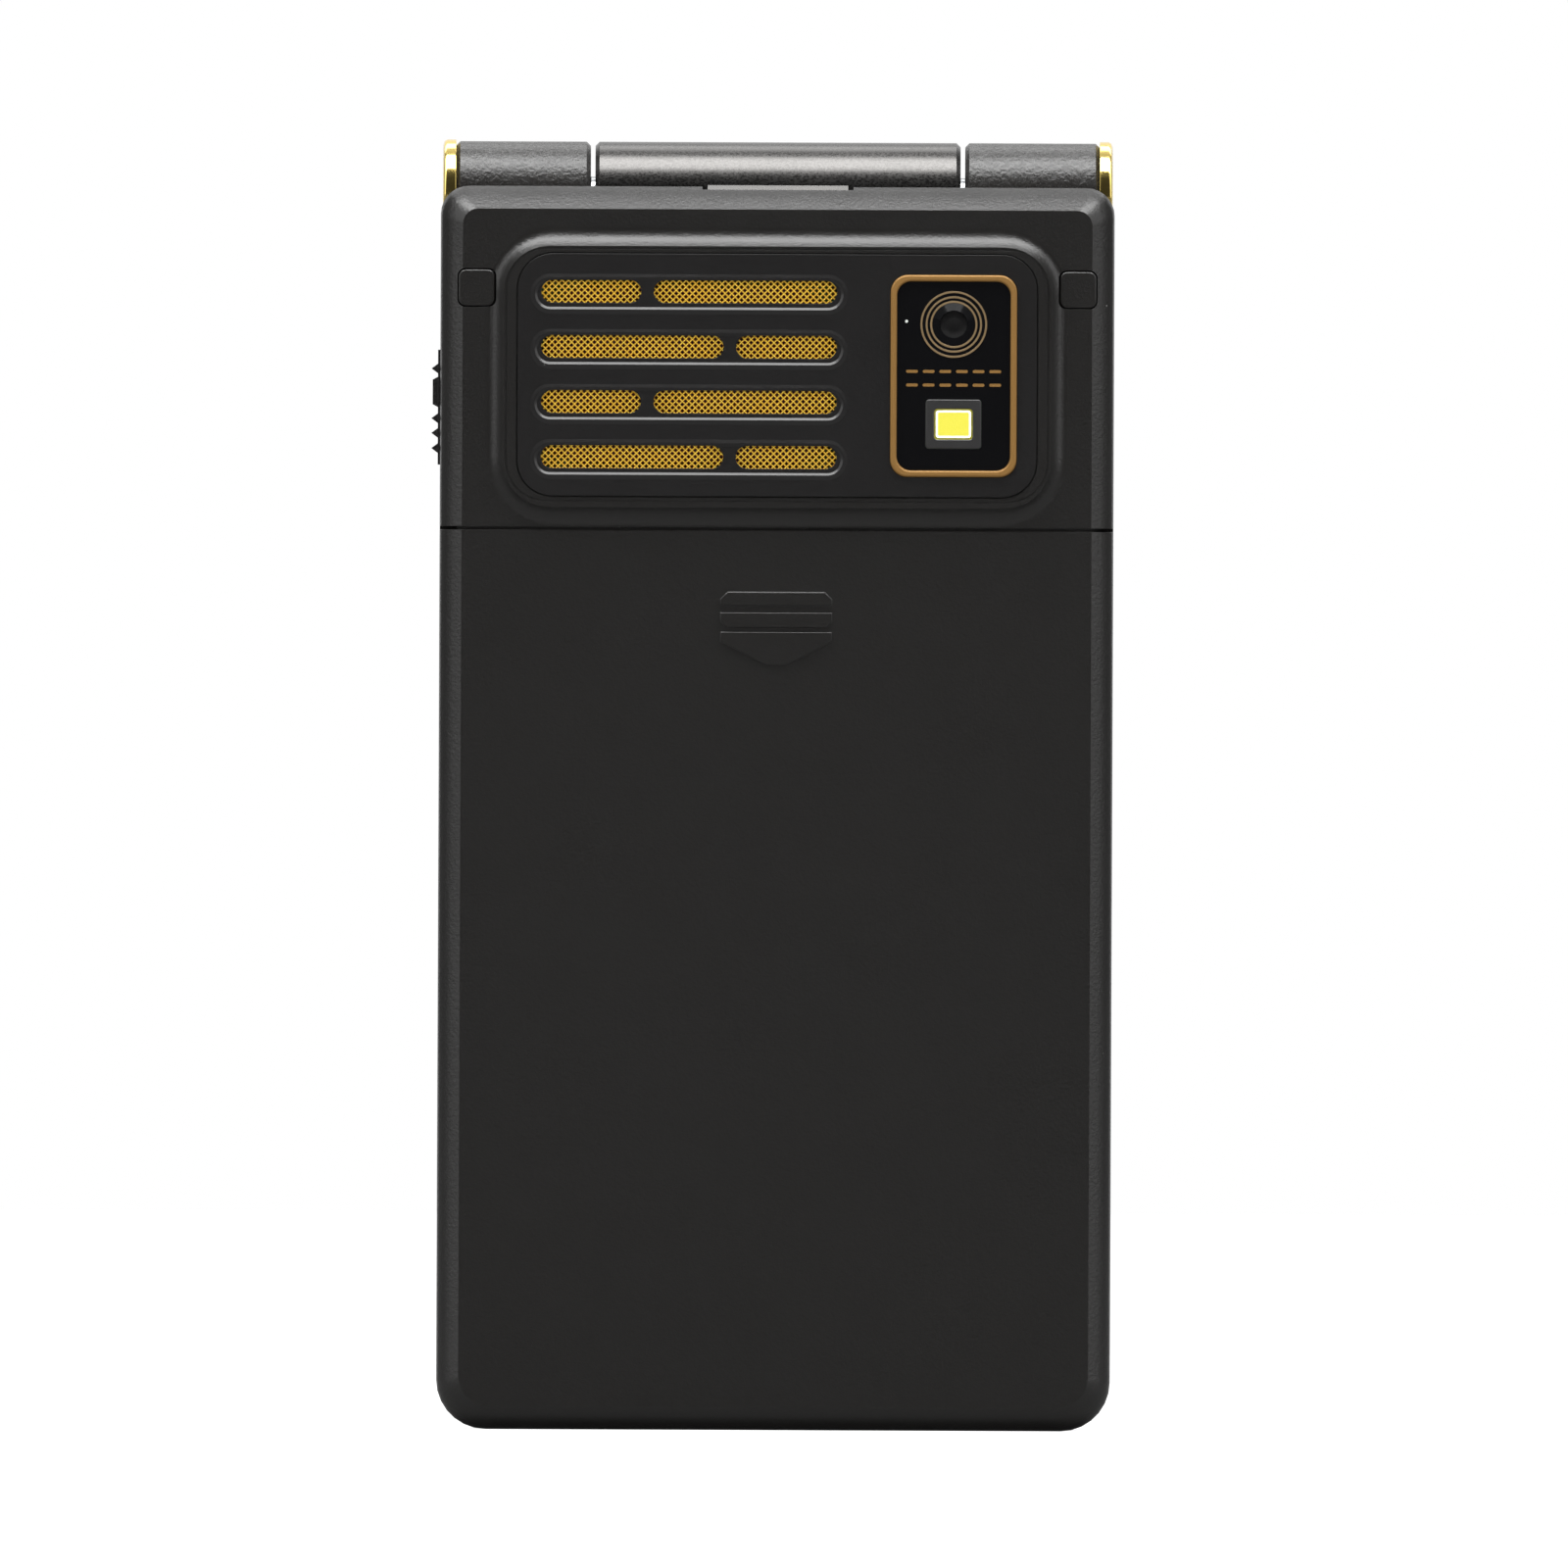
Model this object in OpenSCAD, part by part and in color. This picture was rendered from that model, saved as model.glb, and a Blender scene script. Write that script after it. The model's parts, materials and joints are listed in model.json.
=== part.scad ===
// Flip phone with large keys, closed and standing on its bottom end.
// X runs across the phone, Y from the rear (camera) side to the lid, Z from the bottom end to the hinge.
// Millimetres; the origin is below the middle of the phone, on the surface that it stands on.

/* [Phone] */
// Width of the base housing
phone_w = 57.5; // [57:0.1:60]
// Height over the hinge
phone_h = 110; // [109:0.1:114]
// Thickness of the base, rear face to rim
base_t = 12.2; // [12:0.1:13.5]
// Thickness of the closed lid
lid_t = 7.4; // [7.2:0.1:9]
// Air gap between the base's rim and the closed lid
lid_gap = 0.4; // [0.3:0.05:0.6]
// Corner radius at the bottom end
corner_bottom = 4.2; // [3.5:0.1:5]
// Corner radius beside the hinge
corner_top = 2.4; // [2:0.1:3]
// Width of the rounded band along the rear face's sides and bottom
edge_w = 1.9; // [1.5:0.1:2.2]
// Depth of that band
edge_d = 2.3; // [1.8:0.1:2.6]
// Height of the bevel along the rear face's top edge
top_bevel = 1.95; // [1.8:0.05:2.4]
// Rounding of the rim on the keypad side
rim_round = 0.5; // [0.3:0.1:0.8]

/* [Hinge] */
// Radius of the barrel and the knuckles
hinge_r = 4.5; // [4.3:0.1:4.7]
// Height of the housing's top edge above the hinge axis
base_rise = 0.6; // [0.4:0.1:0.8]
// Length of the middle barrel
barrel_l = 31.2; // [30:0.1:32]
// Gap between the barrel's ends and the knuckles
knuckle_gap = 0.4; // [0.3:0.05:0.5]
// Room between the knuckles and the base's hollow
hollow_gap = 0.5; // [0.4:0.05:0.6]
// Chamfer on the ends of barrel and knuckles
end_chamfer = 0.35; // [0.2:0.05:0.5]
// Radius of the hinge cartridge's can
can_r = 3; // [2.8:0.1:3.2]
// Length of the can
can_l = 12.8; // [12.5:0.1:13.5]
// Wall of the can
can_wall = 0.5; // [0.4:0.05:0.6]
// Radius of the pivot necks on both sides
neck_r = 1.5; // [1.3:0.1:1.6]
// Radial clearance of the necks in their bearings
neck_clear = 0.05; // [0.03:0.01:0.08]
// How far the necks' square keys reach into the knuckles
key_reach = 5; // [4:0.5:7]
// Side of the square keys
key_square = 3.2; // [3:0.1:3.6]
// Wire diameter of the cartridge spring
wire_d = 0.6; // [0.5:0.05:0.7]
// Turns of the cartridge spring
spring_turns = 5; // [4:1:6]
// Length of the cam follower
cam_l = 2.4; // [2:0.1:2.8]
// Height of the cam's ridges
cam_rise = 0.6; // [0.4:0.1:0.7]

/* [Base housing] */
// Distance from the housing's top edge to the battery cover's seam
upper_h = 29.2; // [28.8:0.1:30]
// Gap along that seam
seam_gap = 0.3; // [0.2:0.05:0.4]
// Depth from the rim to the split between the two housings
split_d = 3.95; // [3.9:0.05:4.1]
// Depth of the keypad deck below the rim
deck_drop = 0.6; // [0.5:0.05:0.7]
// Thickness of the keypad deck
deck_t = 1.2; // [1.1:0.05:1.3]
// Width of the rim beside the deck
rim_w = 3.25; // [3:0.05:3.5]
// Distance from the bottom end to the deck
deck_bottom = 4; // [3.5:0.1:4.2]
// Distance from the housing's top edge to the deck
deck_top = 9.1; // [8.8:0.1:10]
// Thickness of the battery bay's floor
floor_t = 0.8; // [0.7:0.05:0.9]

/* [Battery cover] */
// Wall of the cover
cover_t = 1.2; // [1.1:0.05:1.3]
// How far the cover wraps round the sides
cover_wrap = 4.25; // [4:0.05:4.6]
// Play between cover and housing
cover_play = 0.3; // [0.25:0.05:0.35]
// Travel that unhooks the cover
cover_travel = 5.5; // [5:0.1:6]
// Length of one hook
hook_l = 4; // [3.5:0.1:4.5]
// How far a hook reaches in
hook_in = 0.7; // [0.6:0.05:0.8]
// Thickness of a hook
hook_t = 1; // [0.8:0.05:1.1]
// Height of the thumb grip's ribs
grip_rise = 0.3; // [0.2:0.05:0.35]
// Width of the thumb grip
grip_w = 9.5; // [8:0.1:11]
// Distance from the cover's top edge to the thumb grip
grip_drop = 5.25; // [4.5:0.05:6]

/* [Battery] */
// Distance from the base's sides to the battery
battery_side = 6.75; // [6.5:0.05:8]
// Distance from the cover's seam to the battery
battery_drop = 5; // [4.8:0.1:6]
// Thickness of the battery
battery_t = 4.4; // [4.2:0.05:4.5]
// Distance from the bottom end to the battery
battery_z = 13.5; // [12:0.1:16]
// Play round the battery
battery_play = 0.2; // [0.15:0.05:0.3]

/* [Sound and camera panel] */
// Distance from the base's sides to the panel
panel_side = 6.63; // [6.5:0.01:6.8]
// Height of the panel
panel_h = 20.65; // [20.5:0.05:20.8]
// Distance from the housing's top edge to the panel's middle
panel_drop = 16.1; // [16:0.05:16.2]
// Corner radius of the panel
panel_r = 3; // [2.5:0.1:3.5]
// Thickness of the panel
panel_t = 1; // [0.9:0.05:1.1]
// How far the panel stands proud of the ledge round it
panel_proud = 0.15; // [0.05:0.05:0.2]
// Width of the ledge beside the panel
ledge_side = 1.28; // [1.2:0.02:1.34]
// Width of the ledge above the panel
ledge_top = 0.67; // [0.6:0.01:0.75]
// Width of the ledge below the panel
ledge_bottom = 0.98; // [0.8:0.02:1]
// Distance from the panel's sides to the fine groove on the ledge
lip_side = 1; // [0.9:0.02:1.1]
// Distance from the panel's upper and lower edge to that groove
lip_end = 0.45; // [0.4:0.01:0.5]
// Depth of the fine groove
lip_d = 0.15; // [0.1:0.01:0.2]
// Groove between the panel and the ledge
groove = 0.12; // [0.1:0.01:0.15]
// Rise of the pod above the rear face
pod_rise = 0.95; // [0.9:0.05:1.2]
// Width of the pod's slope at the sides
slope_side = 1.43; // [1.3:0.01:1.6]
// Width of the pod's slope at the top
slope_top = 1.63; // [1.4:0.01:1.7]
// Width of the pod's slope at the bottom
slope_bottom = 1.56; // [1.4:0.01:1.6]
// Corner radius of the ledge's outer edge
pod_r = 4; // [3.6:0.1:4.4]
// How much that radius grows over the slope
pod_r_more = 1.9; // [1.5:0.1:2.2]
// Distance from the panel's side to the sound slots
slot_side = 1.42; // [1.2:0.01:1.6]
// Distance from the sound slots to the camera plate
slot_space = 4; // [3.5:0.01:4.5]
// Height of a sound slot over its bevelled rim
slot_h = 2.68; // [2.6:0.02:3]
// Height of the windows in a sound slot
window_h = 1.95; // [1.8:0.05:2.1]
// How far the windows lie above the middle of their slot
window_up = 0.2; // [0:0.02:0.2]
// How far the slots' middle lies below the panel's middle
slot_low = 0.15; // [0:0.01:0.2]
// Width of the raised bead round a slot
bead_w = 0.4; // [0.3:0.02:0.44]
// Height of that bead
bead_h = 0.1; // [0.05:0.01:0.15]
// Distance from one sound slot to the next
slot_pitch = 4.7; // [4.6:0.05:4.8]
// Depth of a slot's bevelled rim
slot_d = 0.06; // [0.04:0.01:0.1]
// Width of the bridge that divides a slot
bridge_w = 1.06; // [0.9:0.02:1.3]
// Place of the bridge in the first and third slot, from the slot's middle
bridge_a = -3.56; // [-4:0.02:-3]
// Place of the bridge in the second and fourth slot, from the slot's middle
bridge_b = 3.48; // [3:0.02:4]
// Thickness of the gauze behind the slots
gauze_t = 0.2; // [0.15:0.05:0.25]

/* [Camera plate] */
// Width of the camera plate over its gold border
plate_w = 10.8; // [10.6:0.1:11.2]
// Height of the camera plate over its gold border
plate_h = 17.25; // [17:0.05:17.4]
// Corner radius of the camera plate
plate_r = 1.5; // [1.2:0.1:1.8]
// Depth of the camera plate's seat in the panel
plate_d = 0.6; // [0.5:0.05:0.65]
// Width of the gold border
border_w = 0.56; // [0.5:0.01:0.6]
// How far the gold border stands proud of the panel
border_proud = 0.4; // [0.2:0.05:0.45]
// Distance from the panel's side to the camera plate
plate_side = 1.67; // [1.5:0.01:1.9]
// Height of the lens above the plate's middle
lens_z = 4.4; // [4.2:0.1:4.6]
// Radius of the lens window
lens_r = 1.8; // [1.6:0.05:1.85]
// Width of the thin gold rings round the lens
ring_w = 0.17; // [0.14:0.01:0.25]
// Depth of the flash below the plate's middle
flash_z = 4.1; // [4:0.05:4.3]
// Width of the flash window
flash_w = 4.74; // [4.6:0.02:5]
// Height of the flash window
flash_h = 4.18; // [4:0.02:4.4]
// Width of the flash's light
led_w = 3; // [2.8:0.05:3.2]
// Height of the flash's light
led_h = 2.34; // [2.2:0.02:2.5]

/* [Keypad] */
// Distance from the deck's sides to the number keys
key_side = 1.2; // [1:0.1:1.5]
// Space between the number keys' columns
column_gap = 1.2; // [1.1:0.1:2]
// Space between the number keys' rows
row_gap = 1.3; // [1.2:0.1:2]
// Distance from the bottom end to the number keys
row_low = 7.9; // [7.8:0.1:8.5]
// Space between the number keys and the call keys
row_space = 6.9; // [6.5:0.1:7.5]
// Corner radius of the keys
key_r = 1.6; // [1.2:0.1:2]
// Clearance round a key in its opening
key_gap = 0.2; // [0.15:0.05:0.25]
// Width of the flange that keeps a key in
flange_w = 0.5; // [0.4:0.05:0.6]
// Thickness of that flange
flange_t = 0.35; // [0.3:0.05:0.4]
// Travel of a key
key_travel = 0.35; // [0.3:0.05:0.35]
// How far the keys stay below the rim
key_low = 0.1; // [0.05:0.05:0.2]
// Distance from the deck's sides to the soft keys and the call keys
side_key_side = 0.8; // [0.8:0.1:1.4]
// Space between the navigation ring and those keys
side_key_space = 2.9; // [2.5:0.1:4]
// Height of the soft keys and the call keys
side_key_h = 11; // [10:0.1:11.2]
// Distance from the call keys' middle to the soft keys' middle
side_pitch = 14; // [13.5:0.1:14.5]
// Distance from the housing's top edge to the navigation ring's middle
nav_drop = 30.1; // [29.5:0.1:31]
// Outer radius of the navigation ring
nav_r = 11; // [10.6:0.1:11.2]
// Inner radius of the navigation ring
nav_hole_r = 4.6; // [4.4:0.1:4.8]
// Radius of the middle key
ok_r = 4.2; // [4:0.05:4.25]
// Thickness of the keypad mat
mat_t = 0.8; // [0.7:0.05:0.85]

/* [Side key] */
// Length of the volume key
side_l = 9.8; // [9:0.1:10.5]
// Width of the volume key
side_w = 3; // [2.6:0.1:3.2]
// Distance from the housing's top edge to the volume key's middle
side_drop = 18.9; // [18.5:0.1:19.5]
// How far the volume key stands out of the wall
side_proud = 0.2; // [0.15:0.05:0.3]
// Height of the ridges on the volume key
ridge_h = 0.56; // [0.4:0.02:0.6]

/* [Lid] */
// Width of the gold rails on the lid's sides
rail_w = 1.1; // [1:0.05:1.2]
// How far the rails stay inside the base's sides
rail_inset = 0.15; // [0.1:0.05:0.25]
// Height of the rails' strip
rail_t = 5.3; // [4.5:0.1:5.6]
// Distance from the lid's outer face to the rails
rail_drop = 1.25; // [1:0.05:1.5]
// Distance from the bottom end to the rails
rail_z = 4; // [3:0.1:5]
// Radius of the rails' round ends at the hinge
rail_end_r = 4.65; // [4.6:0.01:4.75]
// Depth of the lid's inner frame
frame_t = 2.85; // [2.7:0.05:3]
// Rounding along the lid's outer edges
lid_round = 2.4; // [2:0.1:2.8]
// Wall of the lid's outer cover
lid_wall = 1.2; // [1:0.1:1.4]
// Distance from the lid's sides to the main display's lens
lens_side = 3.5; // [3.4:0.1:4.5]
// Distance from the lid's hollow for the barrel to the main display's lens
lens_top = 12.65; // [12:0.05:14]
// Thickness of the display lenses
glass_t = 0.8; // [0.7:0.05:0.9]
// Distance from the bottom end to the main display's lens
lens_bottom = 18; // [17:0.1:19]
// Width of the window on the lid's outer face
outer_w = 30; // [26:0.5:32]
// Height of the window on the lid's outer face
outer_h = 22; // [18:0.5:23]
// Distance from the lid's top edge to the middle of the outer window
outer_drop = 26.1; // [25:0.1:30]
// Corner radius of the lenses
glass_r = 2; // [1.5:0.1:2.5]
// Play round the lenses
glass_play = 0.1; // [0.05:0.05:0.15]
// Length of the earpiece slot
ear_l = 12; // [10:0.5:14]
// Height of the earpiece slot
ear_h = 1.6; // [1.4:0.1:2]
// Distance from the bottom end to the earpiece slot
ear_z = 10.5; // [10:0.1:11]

/* [Screws] */
// Radius of a screw's head
head_r = 1.2; // [1.1:0.05:1.25]
// Height of a screw's head
head_t = 0.8; // [0.6:0.05:0.9]
// Radius of a screw's shank
shank_r = 0.7; // [0.6:0.05:0.75]
// Length of a housing screw's shank
shank_l = 7; // [6.5:0.1:7.2]
// Side of the square plugs over the upper screws
plug_w = 3.12; // [2.9:0.02:3.2]
// Distance from the base's sides to the plugs' middle
plug_side = 3.1; // [2.9:0.02:3.2]
// Distance from the housing's top edge to the plugs
plug_drop = 8.7; // [8.5:0.1:9]

/* [Small parts] */
// Width of the card holder
sim_w = 26; // [24:0.5:27]
// Height of the card holder
sim_h = 16; // [15:0.5:17]
// Thickness of the card holder
sim_t = 1.2; // [1.1:0.05:1.2]
// Place of the card holder from the middle
sim_x = -6; // [-8:0.5:0]
// Distance from the bottom end to the card holder's middle
sim_z = 30; // [26:0.5:40]
// Width of the charging socket
usb_w = 7.5; // [7.2:0.1:8]
// Thickness of the charging socket
usb_t = 2.2; // [2:0.05:2.25]
// Length of the charging socket
usb_l = 6; // [5.5:0.1:6.4]
// Place of the microphone from the middle
mic_x = 12; // [9:0.5:16]
// Distance from the bottom end to the microphone
mic_z = 4.7; // [4.6:0.1:4.8]
// Radius of the microphone
mic_r = 1.9; // [1.7:0.1:2]
// Thickness of the microphone
mic_t = 1.5; // [1.2:0.1:1.6]
// Radius of the vibration motor
motor_r = 1.75; // [1.6:0.05:1.9]
// Place of the vibration motor's back from the middle
motor_x = 9; // [8:0.5:10]
// Width of the battery contacts' block
contact_w = 12; // [10:0.5:14]
// Height of the battery contacts' block
contact_h = 3.4; // [3:0.1:3.6]
// Reach of the battery contacts' block into the battery's thickness
contact_t = 3.4; // [3:0.1:3.8]
// Width of the tongue that the barrel rests on
tongue_w = 12; // [10:0.1:13]
// Depth of the tongue's foot below the housing's top edge
tongue_t = 0.5; // [0.4:0.05:0.55]
// How far the tongue stands above the housing's top edge
tongue_rise = 0.15; // [0.1:0.05:0.25]
// Depth of the notch in the housing's top edge
notch_d = 0.25; // [0.2:0.05:0.35]
// Radius of the cable's bore in the pivot bush
cable_r = 0.9; // [0.7:0.05:1]

/* [Hidden] */
// Cut depth that passes a face cleanly
eps = 0.01;
// Points on each corner of a lofted outline
corner_n = 7;
// Facets on true circles
$fn = 48;

// Thickness over everything, then the main planes along Y
phone_t = pod_rise + panel_proud + border_proud + base_t + lid_gap + lid_t;
rear_y = -phone_t / 2 + pod_rise + panel_proud + border_proud;
rim_y = rear_y + base_t;
deck_y = rim_y - deck_drop;
split_y = rim_y - split_d;
lid_in_y = rim_y + lid_gap;
lid_out_y = lid_in_y + lid_t;
lid_mid_y = lid_in_y + frame_t;
ledge_y = rear_y - pod_rise;
face_y = ledge_y - panel_proud;
wall_y = rear_y + cover_t;

// Hinge axis, the housing's top edge and the seam
hinge_y = rim_y + lid_gap / 2;
hinge_z = phone_h - hinge_r;
base_h = hinge_z + base_rise;
hollow_r = hinge_r + hollow_gap;
barrel_x = barrel_l / 2;
tongue_y = hinge_y - 8.4;
tongue_chamfer = 0.4;
notch_play = 0.45;
knuckle_x = barrel_x + knuckle_gap;
side_x = phone_w / 2;
deck_x = side_x - rim_w;
seam_z = base_h - upper_h;
cover_top = seam_z - seam_gap / 2;
upper_z = seam_z + seam_gap / 2;

// Battery bay, from the cover inwards
cover_y = rear_y + cover_wrap;
step_y = cover_y + cover_play;
core_x = side_x - cover_t - cover_play;
core_z = cover_t + cover_play;
battery_w = phone_w - 2 * battery_side;
battery_top = seam_z - battery_drop;
battery_l = battery_top - battery_z;
battery_y = wall_y + battery_play;
bay_x = battery_w / 2 + battery_play;
bay_y = battery_y + battery_t + battery_play;
board_t = 1;
board_y = split_y - board_t;
board_x = side_x - 5.95;
board_z = 7;
board_top = base_h - 8;
board_play = 0.4;
tab_w = 1.2;
tab_play = 0.2;
core_r = 2.4;
core_over = 4;
floor_y = bay_y + floor_t;

// Rooms behind the panel
panel_z = base_h - panel_drop;
panel_w = phone_w - 2 * panel_side;
plate_x = panel_w / 2 - plate_side - plate_w / 2;
slot_l = plate_x - plate_w / 2 - slot_space + panel_w / 2 - slot_side;
slot_x = slot_side - panel_w / 2 + slot_l / 2;
room_x = board_x + board_play;
room_z = upper_z + 1.2;
room_top = base_h - 7;
shelf_y = rear_y + cover_t;
lens_zz = panel_z + lens_z;
flash_zz = panel_z - flash_z;
plate_y = face_y + plate_d;
glass_y = face_y - 0.05;
ring_radii = [2.85, 2.41, 2.02];
window_x = slot_l / 2 - 0.56;
lip_w = 0.14;
bead_land = 0.06;
slot_in = 0.22;
speaker_w = slot_l - 2.7;
speaker_h = 15;
speaker_t = 3.2;
camera_r = 3;
camera_w = 8;
camera_play = 0.05;

// Keypad
number_names = ["key_star", "key_0", "key_hash", "key_7", "key_8", "key_9",
    "key_4", "key_5", "key_6", "key_1", "key_2", "key_3"];
nav_z = base_h - nav_drop;
soft_z = nav_z + side_pitch / 2;
call_z = nav_z - side_pitch / 2;
side_keys = [["soft_left", -1, soft_z], ["soft_right", 1, soft_z],
    ["call_key", -1, call_z], ["end_key", 1, call_z]];
key_w = (2 * deck_x - 2 * key_side - 2 * column_gap) / 3;
column_pitch = key_w + column_gap;
row_high = call_z - side_key_h / 2 - row_space;
key_h = (row_high - row_low - 3 * row_gap) / 4;
row_pitch = key_h + row_gap;
row_z = row_low + key_h / 2;
side_key_w = deck_x - side_key_side - nav_r - side_key_space;
side_key_x = deck_x - side_key_side - side_key_w / 2;
key_top = rim_y - key_low;
under_y = deck_y - deck_t;
key_bottom = under_y - 0.15 - flange_t;
mat_y = key_bottom - key_travel - 0.2;
mat_x = deck_x - 0.3;
mat_z = row_z - key_h / 2 - 0.9;
mat_top = soft_z + side_key_h / 2 + 1.2;
dome_r = 2;
dome_h = 0.25;

// Screws: height of the middle pair and the bottom pair, and their distance from the middle
screw_x = side_x - 4.55;
screw_mid = row_high + row_space / 2;
screw_low = 4.3;
boss_r = 1.6;
screw_y = wall_y + 0.5;
plug_x = side_x - plug_side;
plug_z = base_h - plug_drop;
plug_deep = 2.2;
plug_play = 0.1;

// Volume key
side_z = base_h - side_drop;
side_y = rear_y + 4.95;
side_lip = 0.8;
side_flange = 0.4;

// Lid
lid_x = side_x - rail_inset - rail_w;
lid_cut_r = hinge_r + 0.35;
lid_top = base_h;
lid_corner = 3;
ear_y = lid_in_y + 0.5;
bumper_x = side_x - 7.75;
bumper_z = 2.2;
bumper_r = 1.2;
lid_screw_x = lid_x - 1.9;
lid_screw_z = [12, hinge_z - 11.5];
lens_w = 2 * (lid_x - lens_side);
lens_h = hinge_z - lid_cut_r - lens_top - lens_bottom;
outer_z = lid_top - outer_drop;
lid_screw_l = 3.6;

// ---------- outlines and solids that several pieces share ----------

// Quarter circle of points about a corner's centre
function corner(x, z, r, a) =
    [for (i = [0:corner_n]) [x + r * cos(a + 90 * i / corner_n), z + r * sin(a + 90 * i / corner_n)]];

// Rectangle with one radius for its lower corners and one for its upper corners
function rounded(x0, x1, z0, z1, low, high) = concat(
    corner(x1 - low, z0 + low, low, -90), corner(x1 - high, z1 - high, high, 0),
    corner(x0 + high, z1 - high, high, 90), corner(x0 + low, z0 + low, low, 180));

// The same outline as points in space, at depth y
function ring(y, x, z0, z1, low, high) = [for (p = rounded(-x, x, z0, z1, low, high)) [p[0], y, p[1]]];

// Solid through a list of rings that follow each other along +Y
module loft(rings) {
    n = len(rings[0]);
    last = (len(rings) - 1) * n;
    sides = [for (k = [0:len(rings) - 2], i = [0:n - 1]) each [
        [k * n + i, k * n + (i + 1) % n, (k + 1) * n + (i + 1) % n],
        [k * n + i, (k + 1) * n + (i + 1) % n, (k + 1) * n + i]]];
    caps = [[for (i = [n - 1:-1:0]) i], [for (i = [0:n - 1]) last + i]];
    polyhedron([for (r = rings) each r], concat(sides, caps));
}

// Box between two corners
module block(low, high) {
    translate(low) cube(high - low);
}

// Straight prism along +Y from y0 to y1 over a rounded rectangle about (x, z)
module slab(x, z, w, h, r, y0, y1) {
    translate([x, y1, z]) rotate([90, 0, 0]) linear_extrude(y1 - y0)
        union() {
            square([w - 2 * r, h], center = true);
            square([w, h - 2 * r], center = true);
            for (i = [-1, 1], j = [-1, 1]) translate([i * (w / 2 - r), j * (h / 2 - r)]) circle(r);
        }
}

// Round bar along +Y from y0 to y1
module post(x, z, r, y0, y1) {
    translate([x, y1, z]) rotate([90, 0, 0]) cylinder(r = r, h = y1 - y0);
}

// Round bar along +X on the hinge axis
module axle(r, x0, x1) {
    translate([x0, hinge_y, hinge_z]) rotate([0, 90, 0]) cylinder(r = r, h = x1 - x0);
}

// Barrel or knuckle on the hinge axis with chamfered ends
module knuckle(r, x0, x1, chamfer) {
    translate([x0, hinge_y, hinge_z]) rotate([0, 90, 0]) rotate_extrude()
        polygon([[0, 0], [r - chamfer, 0], [r, chamfer], [r, x1 - x0 - chamfer],
            [r - chamfer, x1 - x0], [0, x1 - x0]]);
}

// Cushion-topped cap that stands on y0 and rises to y1, with its outline about (x, z)
module cap(x, z, w, h, r, y0, y1, dome) {
    steps = [[y0, 0], [y1 - 2 * dome, 0], [y1 - dome, 0.08], [y1 - dome / 4, 0.35], [y1, 1]];
    translate([x, 0, z]) loft([for (s = steps)
        ring(s[0], w / 2 - s[1] * dome * 2, -h / 2 + s[1] * dome * 2, h / 2 - s[1] * dome * 2, r, r)]);
}

// ---------- base housing ----------

// Base ring: depth y, inset at the sides and bottom, inset at the top
function base_ring(y, side, bottom, top) = ring(y, side_x - side, bottom, base_h - top,
    max(corner_bottom - bottom * 0.8, 1), max(corner_top - top * 0.55, 0.8));

// The closed outer form of the base
module base_form() {
    rear = [for (t = [0, 0.22, 0.45, 0.7, 1])
        base_ring(rear_y + edge_d * t, edge_w * (1 - t) ^ 2, edge_w * (1 - t) ^ 2, top_bevel * (1 - t) ^ 1.15)];
    rim = [for (a = [0, 40, 65, 90]) base_ring(rim_y - rim_round * (1 - sin(a)),
        rim_round * (1 - cos(a)), rim_round * (1 - cos(a)) / 4, rim_round * (1 - cos(a)))];
    loft(concat(rear, rim));
}

// Part of the base form between two depths and two heights
module base_part(y0, y1, z0, z1) {
    intersection() {
        base_form();
        block([-side_x - 1, y0, z0], [side_x + 1, y1, z1]);
    }
}

// Hollow that the barrel and the knuckles turn in
module hinge_hollow() {
    axle(hollow_r, -side_x - 1, side_x + 1);
}

// Raised pod round the panel: a slope that is steep at the ledge and runs out softly at its foot
module pod() {
    bottom = panel_z - panel_h / 2 - ledge_bottom;
    top = panel_z + panel_h / 2 + ledge_top;
    x = panel_w / 2 + ledge_side;
    loft([for (t = [0, 0.14, 0.28, 0.42, 0.58, 0.78, 1, 1.01])
        let (s = min(t, 1), y = t > 1 ? rear_y + cover_t / 2 : rear_y - pod_rise * (1 - s) ^ 2)
        ring(y, x + slope_side * s, max(bottom - slope_bottom * s, upper_z), top + slope_top * s,
            pod_r + pod_r_more * s, pod_r + pod_r_more * s)]);
}

// Fine groove that runs round on the ledge
module ledge_groove() {
    w = panel_w + 2 * lip_side;
    h = panel_h + 2 * lip_end;
    r = panel_r + lip_end;
    difference() {
        slab(0, panel_z, w + lip_w, h + lip_w, r + lip_w / 2, ledge_y - 1, ledge_y + lip_d);
        slab(0, panel_z, w - lip_w, h - lip_w, r - lip_w / 2, ledge_y - 2, ledge_y + lip_d + 1);
    }
}

// Core that the battery cover slides over; it runs on past the seam, so only its lower corners are round
module cover_core(play) {
    top = upper_z + core_over;
    slab(0, (core_z - play + top) / 2, 2 * (core_x + play), top - core_z + play, core_r, wall_y, step_y + 1);
}

// Room that a hook needs: its way along the wall and the gate where it leaves
module hook_slot(z) {
    for (side = [-1, 1]) mirror([side < 0 ? 1 : 0, 0, 0]) {
        block([core_x - hook_in, cover_y - hook_t - 0.2, z - cover_travel - 0.3],
            [core_x + 1, step_y + eps, z + hook_l + 0.3]);
        block([core_x - hook_in, wall_y - 1, z - cover_travel - 0.3],
            [core_x + 1, cover_y - hook_t, z - cover_travel + hook_l + 0.3]);
    }
}

function hook_heights() = [16, (cover_top + 3.25) / 2, cover_top - 12.75];

// Socket that a square plug and its screw sit in
module plug_hole(x) {
    w = plug_w + 2 * plug_play;
    slab(x, plug_z, w, w, 0.7, ledge_y - 1, rear_y + plug_deep + head_t);
}

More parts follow.
